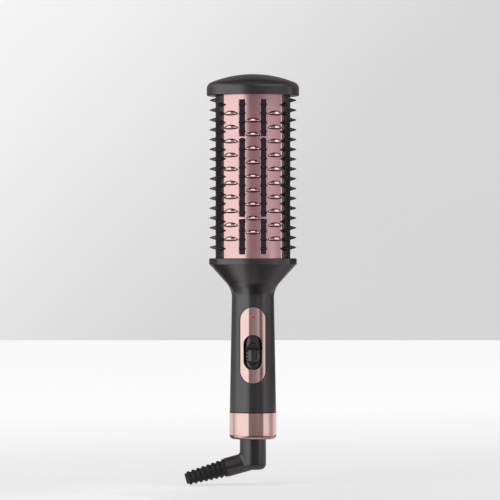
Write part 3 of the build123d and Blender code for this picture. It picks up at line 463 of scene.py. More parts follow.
class Form:
    """A mesh in the making, in millimetres in the brush's own frame."""

    def __init__(self) -> None:
        """Start with nothing."""
        self.points: list[Vector] = []
        self.faces: list[tuple[int, ...]] = []
        self.normals: dict[int, Vector] = {}
        # share of painted shade at marked points
        self.shade_marks: dict[int, float] = {}

    def grid(self, rows: Sequence[Sequence[Vector]], round_rows: bool = False,
             round_columns: bool = False) -> int:
        """Join rows of points with quads.

        Args:
            rows: rows of the same length.
            round_rows: join the last row to the first.
            round_columns: join each row's end to its start.

        Returns:
            The index of the first new point.
        """
        start, count = len(self.points), len(rows[0])
        for row in rows:
            self.points.extend(Vector(point) for point in row)
        for across in range(len(rows) if round_rows else len(rows) - 1):
            below, above = start + across * count, start + (across + 1) % len(rows) * count
            for along in range(count if round_columns else count - 1):
                beyond = (along + 1) % count
                self.faces.append((below + along, below + beyond, above + beyond, above + along))
        return start

    def lathe(self, section: Sequence[Pair], steps: int = 160, place: Matrix | None = None) -> None:
        """Turn a closed section about an axis.

        Args:
            section: radius and height of each point.
            steps: stretches round the axis.
            place: where the axis goes, +Z of the brush if not given.
        """
        seat = place or Matrix.Identity(4)
        rows = []
        for step in range(steps):
            angle = math.tau * step / steps
            rows.append([seat @ Vector((r * math.cos(angle), r * math.sin(angle), z)) for r, z in section])
        self.grid(rows, round_rows=True, round_columns=True)

    def fill(self, outline: Sequence[Vector], holes: Sequence[Sequence[Vector]], spare: Iterable[Vector],
             lift: Callable[[Vector], Vector]) -> int:
        """Fill a flat region that has holes, then lift it onto a surface.

        Args:
            outline: the region's edge, across and up.
            holes: the edges of its holes.
            spare: further points inside the region.
            lift: takes a flat point to the surface.

        Returns:
            The index of the first new point.
        """
        flat: list[Vector] = []
        edges: list[tuple[int, int]] = []
        for loop in (outline, *holes):
            first = len(flat)
            flat.extend(loop)
            edges.extend((first + k, first + (k + 1) % len(loop)) for k in range(len(loop)))
        flat.extend(spare)
        points, _, faces, *_ = geometry.delaunay_2d_cdt(flat, edges, [], 0, FILL_FINENESS)
        start = len(self.points)
        self.points.extend(lift(point) for point in points)
        for face in faces:
            heart = sum((points[k] for k in face), Vector((0.0, 0.0))) / len(face)
            if inside(heart, outline) and not any(inside(heart, hole) for hole in holes):
                self.faces.append(tuple(start + k for k in face))
        return start

    def aim(self, start: int, direction: Callable[[Vector], Vector]) -> None:
        """Set the shading direction of every point from a start.

        Args:
            start: index of the first point.
            direction: gives a point's surface direction.
        """
        for index in range(start, len(self.points)):
            self.normals[index] = direction(self.points[index])

    def piece(self, name: str, weld: bool = True) -> bpy.types.Object:
        """Make the object.

        Args:
            name: the object's name.
            weld: join points that meet.

        Returns:
            A smooth-shaded object in metres.
        """
        mesh = bpy.data.meshes.new(name)
        mesh.from_pydata([point * MM for point in self.points], [], self.faces)
        work = bmesh.new()
        work.from_mesh(mesh)
        if weld:
            bmesh.ops.remove_doubles(work, verts=work.verts, dist=WELD_GAP * MM)
            bmesh.ops.dissolve_degenerate(work, edges=work.edges, dist=SLIVER * MM)
        bmesh.ops.recalc_face_normals(work, faces=work.faces)
        for face in work.faces:
            face.smooth = True
        work.to_mesh(mesh)
        work.free()
        if self.normals:
            blank = Vector((0.0, 0.0, 0.0))
            mesh.normals_split_custom_set_from_vertices(self.matched(mesh, self.normals, blank))
        # painted shade: each point's share goes to a point attribute that the finish reads
        if self.shade_marks:
            layer = mesh.attributes.new("painted_shade", "FLOAT", "POINT")
            layer.data.foreach_set("value", self.matched(mesh, self.shade_marks, 0.0))
        made = bpy.data.objects.new(name, mesh)
        bpy.context.scene.collection.objects.link(made)
        return made

    def matched(self, mesh: bpy.types.Mesh, given: dict[int, object], blank: object) -> list[object]:
        """What was given for the point that each vertex came from.

        Args:
            mesh: the welded mesh.
            given: a value for some of the points.
            blank: the value where nothing is given.

        Returns:
            One value for each vertex.
        """
        tree = kdtree.KDTree(len(given))
        for index in given:
            tree.insert(self.points[index], index)
        tree.balance()
        found = [tree.find(vertex.co / MM) for vertex in mesh.vertices]
        return [given[index] if gap < MATCH_GAP else blank for _, index, gap in found]


def inside(point: Vector, outline: Sequence[Vector]) -> bool:
    """Whether a flat point lies within a closed outline.

    Args:
        point: across and up.
        outline: the outline's points in order.

    Returns:
        True inside, by the number of edges to the point's right.
    """
    crossings = 0
    for index, first in enumerate(outline):
        second = outline[(index + 1) % len(outline)]
        if (first.y > point.y) != (second.y > point.y):
            cut = first.x + (point.y - first.y) / (second.y - first.y) * (second.x - first.x)
            crossings += cut > point.x
    return crossings % 2 == 1


def weigh_normals(piece: bpy.types.Object) -> None:
    """Let large faces lead the shading, so that rounded edges stay crisp."""
    piece.modifiers.new("WeightedNormal", "WEIGHTED_NORMAL").keep_sharp = True


@dataclass
class SubAssembly:
    """What each group of pieces shares: the finishes to take from."""

    book: FinishBook

    def settle(self, piece: bpy.types.Object, slot: str, body: Body, *nodes: str) -> bpy.types.Object:
        """Dress a piece, let it ride its body and stand for its nodes.

        Args:
            piece: the new piece.
            slot: the material slot that it takes its finish from.
            body: the moving body that carries it.
            *nodes: the CAD nodes that it stands for.

        Returns:
            The same piece.
        """
        self.book.dress(piece, slot)
        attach(piece, body.value)
        if nodes:
            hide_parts(*nodes)
        log.info("%s: %d faces, %s, rides %s", piece.name, len(piece.data.polygons), slot, body.value)
        return piece

    def mould(self, form: Form, name: str, slot: str, body: Body, node: str) -> bpy.types.Object:
        """Make a piece with crisp rounded edges that stands for one node, and settle it.

        Args:
            form: its finished mesh.
            name: the piece's name.
            slot: the material slot that it takes its finish from.
            body: the moving body that carries it.
            node: the CAD node that it stands for.

        Returns:
            The piece.
        """
        piece = form.piece(name)
        weigh_normals(piece)
        return self.settle(piece, slot, body, node)


# ---------------------------------------------------------------- barrel


@dataclass
class FinRow:
    """An upright row of lens-shaped fins on a heated plate."""

    angle: float
    top: float
    count: int
    half_length: float


@dataclass
class HeatedPlate(SubAssembly):
    """One half of the barrel's metal skin: a slotted mirror sheet and its rows of fins."""

    node: str = "heated_plate_front"
    turn: float = 0.0
    outer_r: float = 26.9
    sheet: float = 1.2
    half_angle: float = 51.5
    lip: float = 0.7
    slot_x: float = 7.83
    slot_width: float = 4.08
    slot_corner: float = 0.35
    slot_spans: tuple[tuple[float, float, bool], ...] = (
        (132.5, 157.0, False), (159.1, 214.6, True), (216.2, 242.0, False))
    pitch: float = 9.92
    rows: tuple[FinRow, ...] = (FinRow(-36.5, 231.9, 10, 6.5), FinRow(0.0, 226.7, 9, 5.3),
                                FinRow(36.5, 231.9, 10, 6.5))
    fin_rise: float = 2.3
    fin_above: tuple[float, float, float] = (1.75, 0.54, 1.25)
    fin_below: tuple[float, float, float] = (0.45, 0.55, 2.0)
    fin_fillet: float = 0.66
    fin_sink: float = 0.6
    dip: Pair = (0.12, 0.16)
    corner_r: float = 1.6
    crest_power: float = 0.75
    flank_powers: Pair = (0.9, 0.7)

    def lift(self, flat: Vector, depth: float = 0.0) -> Vector:
        """Take a point of the rolled-out sheet to the barrel.

        Args:
            flat: across, along the outer face, and up.
            depth: distance below the outer face, negative above it.

        Returns:
            The point in the brush's frame.
        """
        angle = flat.x / self.outer_r + math.radians(self.turn)
        radius = self.outer_r - depth
        return Vector((radius * math.sin(angle), -radius * math.cos(angle), flat.y))

    def outlines(self, grow: float) -> list[list[Vector]]:
        """The sheet's edge and its slots' edges, drawn back from the opening by a distance.

        Args:
            grow: how far each edge is drawn back into the metal.

        Returns:
            The outer edge first, then the slots.
        """
        low, high = self.span
        width = 2 * math.radians(self.half_angle) * self.outer_r
        middle = (0.0, (low + high) / 2)
        corners = (self.corner_r - grow,) * 2
        loops = [stadium(middle, width - 2 * grow, high - low - 2 * grow, corners, 4, across=34)]
        for side in (-1, 1):
            for bottom, top, rounded in self.slot_spans:
                at = (side * self.slot_x, (bottom + top) / 2)
                upper = self.slot_width / 2 if rounded else self.slot_corner
                corners = (self.slot_corner + grow, upper + grow)
                loops.append(stadium(at, self.slot_width + 2 * grow, top - bottom + 2 * grow, corners, 8))
        return loops

    def add_sheet(self, form: Form) -> None:
        """Add the sheet: its outer face, the rounded lips, the cut edges and the inner face.

        Args:
            form: the mesh to add to.
        """
        lip_steps = 5
        side_margin, end_margin, hole_margin = 0.5, 1.8, 0.4
        edge = self.outlines(0.0)
        face = self.outlines(self.lip)
        spare = []
        low, high = self.span
        half_width = math.radians(self.half_angle) * self.outer_r - self.lip - side_margin
        holes = self.outlines(self.lip + hole_margin)[1:]
        columns, levels = 33, 26
        for column in range(columns):
            for level in range(levels):
                point = Vector((-half_width + 2 * half_width * column / (columns - 1),
                                low + end_margin + (high - low - 2 * end_margin) * level / (levels - 1)))
                if not any(inside(point, hole) for hole in holes):
                    spare.append(point)
        start = form.fill(face[0], face[1:], spare, self.lift)
        form.aim(start, lambda point: Vector((point.x, point.y, 0)).normalized())
        for drawn, cut in zip(face, edge):
            rows, normals = [], []
            for step in range(lip_steps + 1):
                angle = math.pi / 2 * step / lip_steps
                depth = self.lip * (1 - math.cos(angle))
                row = [self.lift(a.lerp(b, math.sin(angle)), depth) for a, b in zip(drawn, cut)]
                for a, b, point in zip(drawn, cut, row):
                    outward = Vector((point.x, point.y, 0)).normalized()
                    across = (self.lift(b) - self.lift(a)).normalized()
                    normals.append(outward * math.cos(angle) + across * math.sin(angle))
                rows.append(row)
            rows.append([self.lift(b, self.sheet) for b in cut])
            start = form.grid(rows, round_columns=True)
            for index, normal in enumerate(normals):
                form.normals[start + index] = normal
        form.fill(edge[0], edge[1:], spare, lambda flat: self.lift(flat, self.sheet))

    def flank(self, shape: tuple[float, float, float], taper: float, side: int) -> list[Pair]:
        """One flank of a fin's section, from the sheet up to the crest.

        Args:
            shape: how far the flank reaches from the crest, the share of the crest's height where it
                ends, and how fast it falls.
            taper: share of its full width at this place along the fin.
            side: 1 above the crest, -1 below it.

        Returns:
            Pairs of distance up the barrel and share of the crest's height, the hollow foot first.
        """
        reach, shelf, fall = shape
        half, foot = reach * taper, self.fin_fillet * math.sqrt(taper)
        hollow = [(1.0, 0.0), (0.55, 0.10), (0.25, 0.38), (0.08, 0.78)]
        curve = [(side * (half + foot * out), shelf * up) for out, up in hollow]
        steps = 8
        for step in range(steps + 1):
            share = 1 - step / steps
            curve.append((side * half * share, 1 - (1 - shelf) * share ** fall))
        return curve

    def add_fin(self, form: Form, across: float, height: float, half_length: float) -> None:
        """Add one fin: a closed lens, arched above and flatter below, with a shallow dip in its crest.

        Args:
            form: the mesh to add to.
            across: the fin's middle, along the outer face.
            height: the fin's height on the axis.
            half_length: half of its length round the barrel.
        """
        slices, foot, underside = 36, 6, 11
        dip, dip_width = self.dip
        rows = []
        for index in range(slices + 1):
            along = -math.cos(math.pi * index / slices)
            taper = max(1 - along * along, 0.0)
            dipped = 1 - dip * math.exp(-(along / dip_width) ** 2)
            crest = self.fin_rise * taper ** self.crest_power * dipped
            upper = self.flank(self.fin_above, taper ** self.flank_powers[0], 1)
            lower = self.flank(self.fin_below, taper ** self.flank_powers[1], -1)
            section = upper + lower[-2::-1]
            place = across + along * half_length
            row = [self.lift(Vector((place, height + up)), -crest * share) for up, share in section]
            row.append(self.lift(Vector((place, height + section[-1][0])), self.fin_sink))
            row.append(self.lift(Vector((place, height + section[0][0])), self.fin_sink))
            rows.append(row)
        start, width, outline = len(form.points), len(rows[0]), len(section)
        form.grid(rows, round_columns=True)
        # painted shade: the upper hollow foot and the whole underside of each fin are marked dark, for its
        # dark outlines
        for index in range(start, len(form.points)):
            place = (index - start) % width
            form.shade_marks[index] = 1.0 if place < foot or place >= outline - underside else 0.0

    def build(self) -> bpy.types.Object:
        """Build the plate and let it stand for its CAD node.

        Returns:
            The plate.
        """
        low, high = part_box(self.node)
        self.span = (low.z / MM, high.z / MM)
        form = Form()
        self.add_sheet(form)
        for row in self.rows:
            for index in range(row.count):
                across = math.radians(row.angle) * self.outer_r
                self.add_fin(form, across, row.top - index * self.pitch, row.half_length)
        return self.settle(form.piece(f"{self.node}_skin"), "rose_gold_plate", Body.HANDLE, self.node)


@dataclass
class CombPanel(SubAssembly):
    """A side comb: a curved panel with three rows of tapered bristles."""

    node: str = "side_comb_right"
    side: int = 1
    outer_r: float = 26.8
    sheet: float = 1.7
    half_angle: float = 38.0
    tip_r: float = 31.1
    base_r: float = 1.45
    point_r: float = 0.5
    rounding: float = 0.35
    root: float = 0.9
    rows: tuple[tuple[float, float, float, int, float], ...] = (
        (57.5, 32.0, 238.8, 17, 6.41), (90.0, 90.0, 242.6, 16, 7.03), (122.5, 148.0, 238.8, 17, 6.41))

    def build(self) -> None:
        """Build the panel and its bristles and let them stand for the CAD node."""
        low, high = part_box(self.node)
        bottom, top = low.z / MM, high.z / MM
        form = Form()
        reach = math.radians(self.half_angle) * self.outer_r
        middle = (0.0, self.outer_r - self.sheet / 2)
        section = stadium(middle, 2 * reach, self.sheet, (self.rounding,) * 2, 3, across=30)
        rows = []
        for height, inset in panel_levels(bottom, top, self.rounding):
            row = []
            for point in section:
                depth = max(min(point.y, self.outer_r - inset), self.outer_r - self.sheet + inset)
                angle = math.radians(90 * self.side) + point.x / self.outer_r * (1 - inset / reach)
                row.append(Vector((depth * math.sin(angle), -depth * math.cos(angle), height)))
            rows.append(row)
        form.grid(rows, round_columns=True)
        for end in (rows[0], rows[-1]):
            close_strip(form, end)
        for angle, lean, first, count, pitch in self.rows:
            for index in range(count):
                height = first - index * pitch
                foot = polar(self.outer_r - self.root, angle * self.side, height)
                way = polar(1.0, lean * self.side, 0.0)
                length = reach_to(foot, way, self.tip_r)
                add_bristle(form, foot, foot + way * length, self.base_r, self.point_r)
        self.mould(form, f"{self.node}_moulding", "black_comb_plastic", Body.HANDLE, self.node)


def polar(radius: float, angle: float, height: float) -> Vector:
    """A point by its angle from the front towards +X."""
    turn = math.radians(angle)
    return Vector((radius * math.sin(turn), -radius * math.cos(turn), height))


def reach_to(foot: Vector, way: Vector, radius: float) -> float:
    """How far from a foot along a level direction the given radius is met."""
    along = foot.x * way.x + foot.y * way.y
    return -along + math.sqrt(along * along + radius * radius - foot.x * foot.x - foot.y * foot.y)


def panel_levels(bottom: float, top: float, rounding: float) -> list[Pair]:
    """Heights of a panel's rows with the inset that rounds its two ends.

    Args:
        bottom: lowest height.
        top: highest height.
        rounding: radius of the rounded ends.

    Returns:
        Pairs of height and inset, upwards.
    """
    steps = 3
    turns = [math.pi / 2 * step / steps for step in range(steps + 1)]
    ends = [(rounding * (1 - math.cos(turn)), rounding * (1 - math.sin(turn))) for turn in turns]
    lower = [(bottom + rise, inset) for rise, inset in ends]
    upper = [(top - rise, inset) for rise, inset in reversed(ends)]
    return lower + upper


def close_strip(form: Form, loop: Sequence[Vector]) -> None:
    """Close the end of a section with one flat face.

    Args:
        form: the mesh to add to.
        loop: the section's points in order.
    """
    start = len(form.points)
    form.points.extend(loop)
    form.faces.append(tuple(range(start, start + len(loop))))


def add_bristle(form: Form, foot: Vector, tip: Vector, base_r: float, point_r: float) -> None:
    """Add a tapered bristle with a ball tip and a flared root.

    Args:
        form: the mesh to add to.
        foot: middle of its root.
        tip: its outermost point.
        base_r: radius at the root.
        point_r: radius of the ball tip.
    """
    axis = tip - foot
    length = axis.length
    seat = Matrix.Translation(foot) @ axis.to_track_quat("Z", "Y").to_matrix().to_4x4()
    flare, shoulder = base_r + 0.35, base_r + 0.1
    section = [(0.0, 0.0), (flare, 0.0), (flare, 0.9), (shoulder, 1.15), (base_r, 1.6)]
    ball, ball_steps = length - point_r, 4
    for step in range(ball_steps + 1):
        angle = math.pi / 2 * step / ball_steps
        section.append((point_r * math.cos(angle), ball + point_r * math.sin(angle)))
    form.lathe(section, 14, seat)


@dataclass
class TipCap(SubAssembly):
    """The cool tip over the barrel's end."""

    rim_r: float = 33.1
    shoulder_r: float = 4.8
    rise: float = 10.4
    hollow_r: float = 22.0

    def build(self) -> None:
        """Turn the cap, rim and dome in one, hollow below."""
        low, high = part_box("tip_cap")
        bottom, top = low.z / MM, high.z / MM
        rise, inset = self.rise, self.rim_r - self.shoulder_r
        rim_top = top - rise
        crown_r = (inset ** 2 + rise ** 2 - self.shoulder_r ** 2) / (2 * (rise - self.shoulder_r))
        meet = math.degrees(math.asin(inset / (crown_r - self.shoulder_r)))
        crown = arc((0.0, top - crown_r), crown_r, 90.0, 90.0 - meet, 40)
        shoulder = arc((inset, rim_top), self.shoulder_r, 90.0 - meet, 0.0, 14)[1:]
        skirt = rounded_section([
            (self.rim_r, rim_top, 0.0), (self.rim_r, bottom, 0.7), (self.hollow_r, bottom, 0.3),
            (self.hollow_r, rim_top, 1.5), (0.0, rim_top, 0.0)])[1:]
        form = Form()
        form.lathe([(max(r, 0.0), z) for r, z in crown + shoulder + skirt])
        self.mould(form, "tip_cap_moulding", "black_satin_plastic", Body.HANDLE, "tip_cap")


@dataclass
class NeckCollar(SubAssembly):
    """The black rim between the barrel and the flare of the handle."""

    outer_r: float = 31.4
    rim_low: float = 124.9
    tube_r: float = 12.4
    tube_bore: float = 10.2
    groove: tuple[float, float, float] = (107.0, 109.2, 11.6)
    seat: tuple[float, float, float] = (24.4, 27.15, 1.8)

    def build(self) -> None:
        """Turn the rim with its plate seat, and the tube that the shells grip."""
        low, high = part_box("neck_collar")
        bottom, top = low.z / MM, high.z / MM
        seat_in, seat_out, depth = self.seat
        groove_low, groove_high, groove_r = self.groove
        section = rounded_section([
            (self.tube_bore, bottom, 0.0), (self.tube_r, bottom, 0.3), (self.tube_r, groove_low, 0.0),
            (groove_r, groove_low, 0.0), (groove_r, groove_high, 0.0), (self.tube_r, groove_high, 0.0),
            (self.tube_r, self.rim_low, 0.8), (self.outer_r, self.rim_low, 0.25), (self.outer_r, top, 1.0),
            (seat_out, top, 0.3), (seat_out, top - depth, 0.0), (seat_in, top - depth, 0.0),
            (seat_in, top, 0.3), (self.tube_bore, top, 0.3)])
        form = Form()
        form.lathe(section)
        self.mould(form, "neck_collar_moulding", "black_satin_plastic", Body.HANDLE, "neck_collar")


# ---------------------------------------------------------------- handle


@dataclass(frozen=True)
class HandleTaper:
    """The straight taper of the handle between its ring and its neck."""

    end_r: float = 16.6
    neck_r: float = 15.1
    end_z: float = 19.5
    neck_z: float = 101.3

    def radius(self, height: float) -> float:
        """Radius of the skin at a height."""
        share = (height - self.end_z) / (self.neck_z - self.end_z)
        return self.end_r + (self.neck_r - self.end_r) * share

    def front(self, across: float, height: float, proud: float = 0.0) -> Vector:
        """The point of the front face over a flat point, raised by a distance."""
        radius = self.radius(height) + proud
        return Vector((across, -math.sqrt(radius * radius - across * across), height))


@dataclass
class SeamTongue(SubAssembly):
    """The tongues inside the handle's wall that close the seam between its two shells."""

    taper: HandleTaper
    depth: float = 1.2
    half_width: float = 0.2
    half_span: float = 0.5
    ends: Pair = (20.2, 124.0)

    def build(self) -> None:
        """Build the tongue of each side."""
        form = Form()
        for side in (-1, 1):
            rows = []
            for height in (self.ends[0], self.taper.neck_z, self.ends[1]):
                middle = side * (self.taper.radius(min(height, self.taper.neck_z)) - self.depth)
                near, far = middle - self.half_width, middle + self.half_width
                rows.append([Vector((near, -self.half_span, height)), Vector((far, -self.half_span, height)),
                             Vector((far, self.half_span, height)), Vector((near, self.half_span, height))])
            form.grid(rows, round_columns=True)
            for end in (rows[0], rows[-1]):
                close_strip(form, end)
        self.settle(form.piece("handle_seam_tongues"), "black_satin_plastic", Body.HANDLE)


@dataclass
class ControlPlate(SubAssembly):
    """The mirror plate round the switch and the light."""

    taper: HandleTaper
    low: float = 39.9
    high: float = 94.7
    width: float = 18.5
    opening: tuple[float, float, float] = (49.9, 74.4, 13.0)
    proud: float = 0.35
    thickness: float = 1.0
    lip: float = 0.5
    # painted shade: rows at the outer edge are marked dark, for the shadow gap round the plate
    shadow_gap_rows: int = 5

    def outline(self, grow: float, outer: bool) -> list[Vector]:
        """The plate's outer edge or its opening's edge, drawn back into the metal.

        Args:
            grow: distance drawn back.
            outer: true for the outer edge.

        Returns:
            The flat outline.
        """
        low, high, width = (self.low, self.high, self.width) if outer else self.opening
        change = -2 * grow if outer else 2 * grow
        round_r = (width + change) / 2
        return stadium((0.0, (low + high) / 2), width + change, high - low + change, (round_r, round_r), 24)

    def build(self) -> bpy.types.Object:
        """Build the plate with a rounded lip at both edges and painted shade along its outer edge.

        Returns:
            The plate.
        """
        lip_steps, bands = 5, 10
        rows: list[list[Vector]] = []
        for outer in (True, False):
            cut, drawn = self.outline(0.0, outer), self.outline(self.lip, outer)
            lip_rows = [[self.taper.front(p.x, p.y, self.proud - self.thickness) for p in cut]]
            for step in range(lip_steps + 1):
                angle = math.pi / 2 * (1 - step / lip_steps)
                drop = self.lip * (1 - math.cos(angle))
                flat = [a.lerp(b, math.sin(angle)) for a, b in zip(drawn, cut)]
                lip_rows.append([self.taper.front(p.x, p.y, self.proud - drop) for p in flat])
            if not outer:
                lip_rows.reverse()
            rows.extend(lip_rows)
            if outer:
                inner = self.outline(self.lip, False)
                for band in range(1, bands):
                    flat = [a.lerp(b, band / bands) for a, b in zip(drawn, inner)]
                    rows.append([self.taper.front(p.x, p.y, self.proud) for p in flat])
        form = Form()
        form.grid(rows, round_rows=True, round_columns=True)
        # painted shade: the back of the outer edge and the outer part of its lip, for the shadow gap round
        # the plate
        for index in range(len(form.points)):
            form.shade_marks[index] = 1.0 if index < self.shadow_gap_rows * len(rows[0]) else 0.0
        return self.mould(form, "control_plate_skin", "rose_gold_trim", Body.HANDLE, "control_plate")


@dataclass
class EndRing(SubAssembly):
    """The mirror ring that closes the handle's end."""

    outer_r: float = 16.85
    wall: float = 1.25
    floor: float = 1.6
    edge: float = 3.0
    mouth_r: float = 9.9
    # painted shade: the ring's top band, this deep, is marked dark for the shadow in the joint under the
    # handle
    seam: float = 0.5
    shade_fade: float = 1.2

    def build(self) -> bpy.types.Object:
        """Turn the ring with its rounded lower edge and rolled upper lip, its top band in painted shade.

        Returns:
            The ring.
        """
        low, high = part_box("end_ring")
        bottom, top = low.z / MM, high.z / MM
        bore = self.outer_r - self.wall
        section = rounded_section([
            (self.mouth_r, bottom, 0.35), (self.outer_r, bottom, self.edge), (self.outer_r, top, 0.45),
            (bore, top, 0.2), (bore, bottom + self.floor, 0.4), (self.mouth_r, bottom + self.floor, 0.2)], 8)
        # an extra point a little below the band, where the painted shade fades out
        start = next(index for index, point in enumerate(section) if point[1] > top - self.seam)
        section.insert(start, (self.outer_r, top - self.shade_fade * self.seam))
        form = Form()
        form.lathe(section)
        # painted shade on the top band
        for index, point in enumerate(form.points):
            form.shade_marks[index] = 1.0 if point.z > top - self.seam else 0.0
        return self.mould(form, "end_ring_skin", "rose_gold_trim", Body.HANDLE, "end_ring")


# ---------------------------------------------------------------- controls


@dataclass
class Thumb(SubAssembly):
    """The thumb piece: a flat upper pad, a rounded saddle with three grip dots and a low lower ledge."""

    edge: float = 0.5
    back: float = 12.9
    dot_r: float = 0.55
    dot_depth: float = 0.9
    dot_x: float = -3.85
    dot_heights: tuple[float, float, float] = (58.1, 60.5, 62.9)
    spacing: float = 0.33
    margin: float = 0.15
    well: tuple[Pair, ...] = ((1.0, 0.0), (0.9, 0.25), (0.85, 1.0), (0.02, 1.0))
    faces: tuple[tuple[float, float, float], ...] = (
        (0.0, 15.3, 0.2), (0.03, 15.7, 0.2), (0.15, 15.8, 0.2), (0.2, 15.5, 2.3), (0.66, 15.5, 2.3),
        (0.71, 16.2, 0.1), (0.78, 16.6, 0.0), (0.93, 16.7, 0.0), (1.0, 16.0, 0.2))

    def lift(self, flat: Vector, drop: float = 0.0) -> Vector:
        """Take a flat point to the thumb's face.

        Args:
            flat: across and up.
            drop: distance below the face.

        Returns:
            The point in the brush's frame.
        """
        share = (flat.y - self.bottom) / (self.top - self.bottom)
        reach, bow = self.faces[-1][1:]
        for (start, first, first_bow), (end, second, second_bow) in zip(self.faces, self.faces[1:]):
            if share <= end:
                blend = max((share - start) / (end - start), 0.0)
                blend = blend * blend * (3 - 2 * blend)
                reach = first + (second - first) * blend
                bow = first_bow + (second_bow - first_bow) * blend
                break
        sag = reach - math.sqrt(reach * reach - flat.x * flat.x)
        return Vector((flat.x, drop + bow * sag - reach, flat.y))

    def add_dot(self, form: Form, ring: Sequence[Vector]) -> None:
        """Add one grip dot: a small round well.

        Args:
            form: the mesh to add to.
            ring: the dot's flat edge.
        """
        middle = sum(ring, Vector((0.0, 0.0))) / len(ring)
        rows = [[self.lift(middle.lerp(point, size), depth * self.dot_depth) for point in ring]
                for size, depth in self.well]
        form.grid(rows, round_columns=True)

    def build(self) -> None:
        """Build the thumb piece and its dots; they ride the switch."""
        low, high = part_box("switch_thumb")
        self.bottom, self.top = low.z / MM, high.z / MM
        width, length = (high.x - low.x) / MM, self.top - self.bottom
        middle = (0.0, (self.bottom + self.top) / 2)
        form, steps = Form(), 5
        rows = []
        for step in range(-1, steps + 1):
            angle = math.pi / 2 * max(step, 0) / steps
            inset, drop = self.edge * (1 - math.cos(angle)), self.edge * (1 - math.sin(angle))
            round_r = width / 2 - inset
            loop = stadium(middle, 2 * round_r, length - 2 * inset, (round_r, round_r), 16)
            if step < 0:
                rows.append([Vector((p.x, -self.back, p.y)) for p in loop])
            else:
                rows.append([self.lift(p, drop) for p in loop])
        form.grid(rows, round_columns=True)
        close_strip(form, rows[0])
        dots = [stadium((self.dot_x, z), 2 * self.dot_r, 2 * self.dot_r, (self.dot_r,) * 2, 4)
                for z in self.dot_heights]
        core_r = round_r - self.margin
        core_length = length - 2 * self.edge - 2 * self.margin
        within = stadium(middle, 2 * core_r, core_length, (core_r,) * 2, 16)
        around = [stadium((self.dot_x, z), 3 * self.dot_r, 3 * self.dot_r, (1.5 * self.dot_r,) * 2, 4)
                  for z in self.dot_heights]
        spare = []
        for column in range(-int(width / self.spacing), int(width / self.spacing) + 1):
            for level in range(int(length / self.spacing) + 1):
                point = Vector((column * self.spacing, self.bottom + level * self.spacing))
                if inside(point, within) and not any(inside(point, ring) for ring in around):
                    spare.append(point)
        form.fill(loop, dots, spare, self.lift)
        for ring in dots:
            self.add_dot(form, ring)
        self.mould(form, "switch_thumb_moulding", "black_switch_plastic", Body.SWITCH, "switch_thumb")


@dataclass
class StrainRelief(SubAssembly):
    """The ribbed sleeve on the elbow's branch."""

    branch_z: float = -15.2
    branch_angle: float = 15.8
    branch_length: float = 20.0
    length: float = 30.0
    anchor: Pair = (5.0, 8.0)
    bore: float = 3.2
    base_r: float = 6.5
    tip_r: float = 4.9
    ribs: int = 8
    rib_width: float = 2.1
    rib_depth: float = 1.0

    def build(self) -> None:
        """Turn the sleeve about the branch's axis, each rib rounded."""
        angle = math.radians(self.branch_angle)
        way = Vector((-math.cos(angle), 0.0, -math.sin(angle)))
        start = Vector((0.0, 0.0, self.branch_z)) + way * self.branch_length
        seat = Matrix.Translation(start) @ way.to_track_quat("Z", "Y").to_matrix().to_4x4()
        pitch = self.length / self.ribs
        corners = [(self.bore, -self.anchor[1], 0.2), (self.anchor[0], -self.anchor[1], 0.2),
                   (self.anchor[0], 0.0, 0.0)]
        for index in range(self.ribs):
            low = index * pitch
            outer = self.base_r + (self.tip_r - self.base_r) * index / (self.ribs - 1)
            inner, rib_top = outer - self.rib_depth, low + self.rib_width
            corners += [(outer, low, 0.45), (outer, rib_top, 0.45), (inner, rib_top, 0.25),
                        (inner, low + pitch, 0.25)]
        corners.append((self.bore, self.length, 0.5))
        form = Form()
        form.lathe(rounded_section(corners, 3), 72, seat)
        self.mould(form, "strain_relief_moulding", "soft_black_rubber", Body.SWIVEL, "strain_relief")


# ---------------------------------------------------------------- studio


@dataclass(frozen=True)
class Softbox:
    """One soft light: a flat panel that faces a point on the brush's axis."""

    name: str
    azimuth: float
    elevation: float
    distance: float
    aim: float
    size: Pair
    radiance: float
    metal_only: bool = False

    def build(self, takers: bpy.types.Collection) -> None:
        """Hang the light. One for all pieces is soft light only, one for metal shows in mirrors too.

        Args:
            takers: the pieces that alone take the light of a box for metal.
        """
        turn, rise = math.radians(self.azimuth), math.radians(self.elevation)
        away = Vector((math.sin(turn) * math.cos(rise), -math.cos(turn) * math.cos(rise), math.sin(rise)))
        lamp = bpy.data.lights.new(self.name, "AREA")
        lamp.shape = "RECTANGLE"
        lamp.size, lamp.size_y = self.size
        lamp.energy = self.radiance * math.pi * self.size[0] * self.size[1]
        holder = bpy.data.objects.new(self.name, lamp)
        holder.location = away * self.distance + Vector((0.0, 0.0, self.aim))
        holder.rotation_euler = (-away).to_track_quat("-Z", "Y").to_euler()
        holder.visible_camera = False
        holder.visible_glossy = self.metal_only
        if self.metal_only:
            holder.light_linking.receiver_collection = takers
        bpy.context.scene.collection.objects.link(holder)


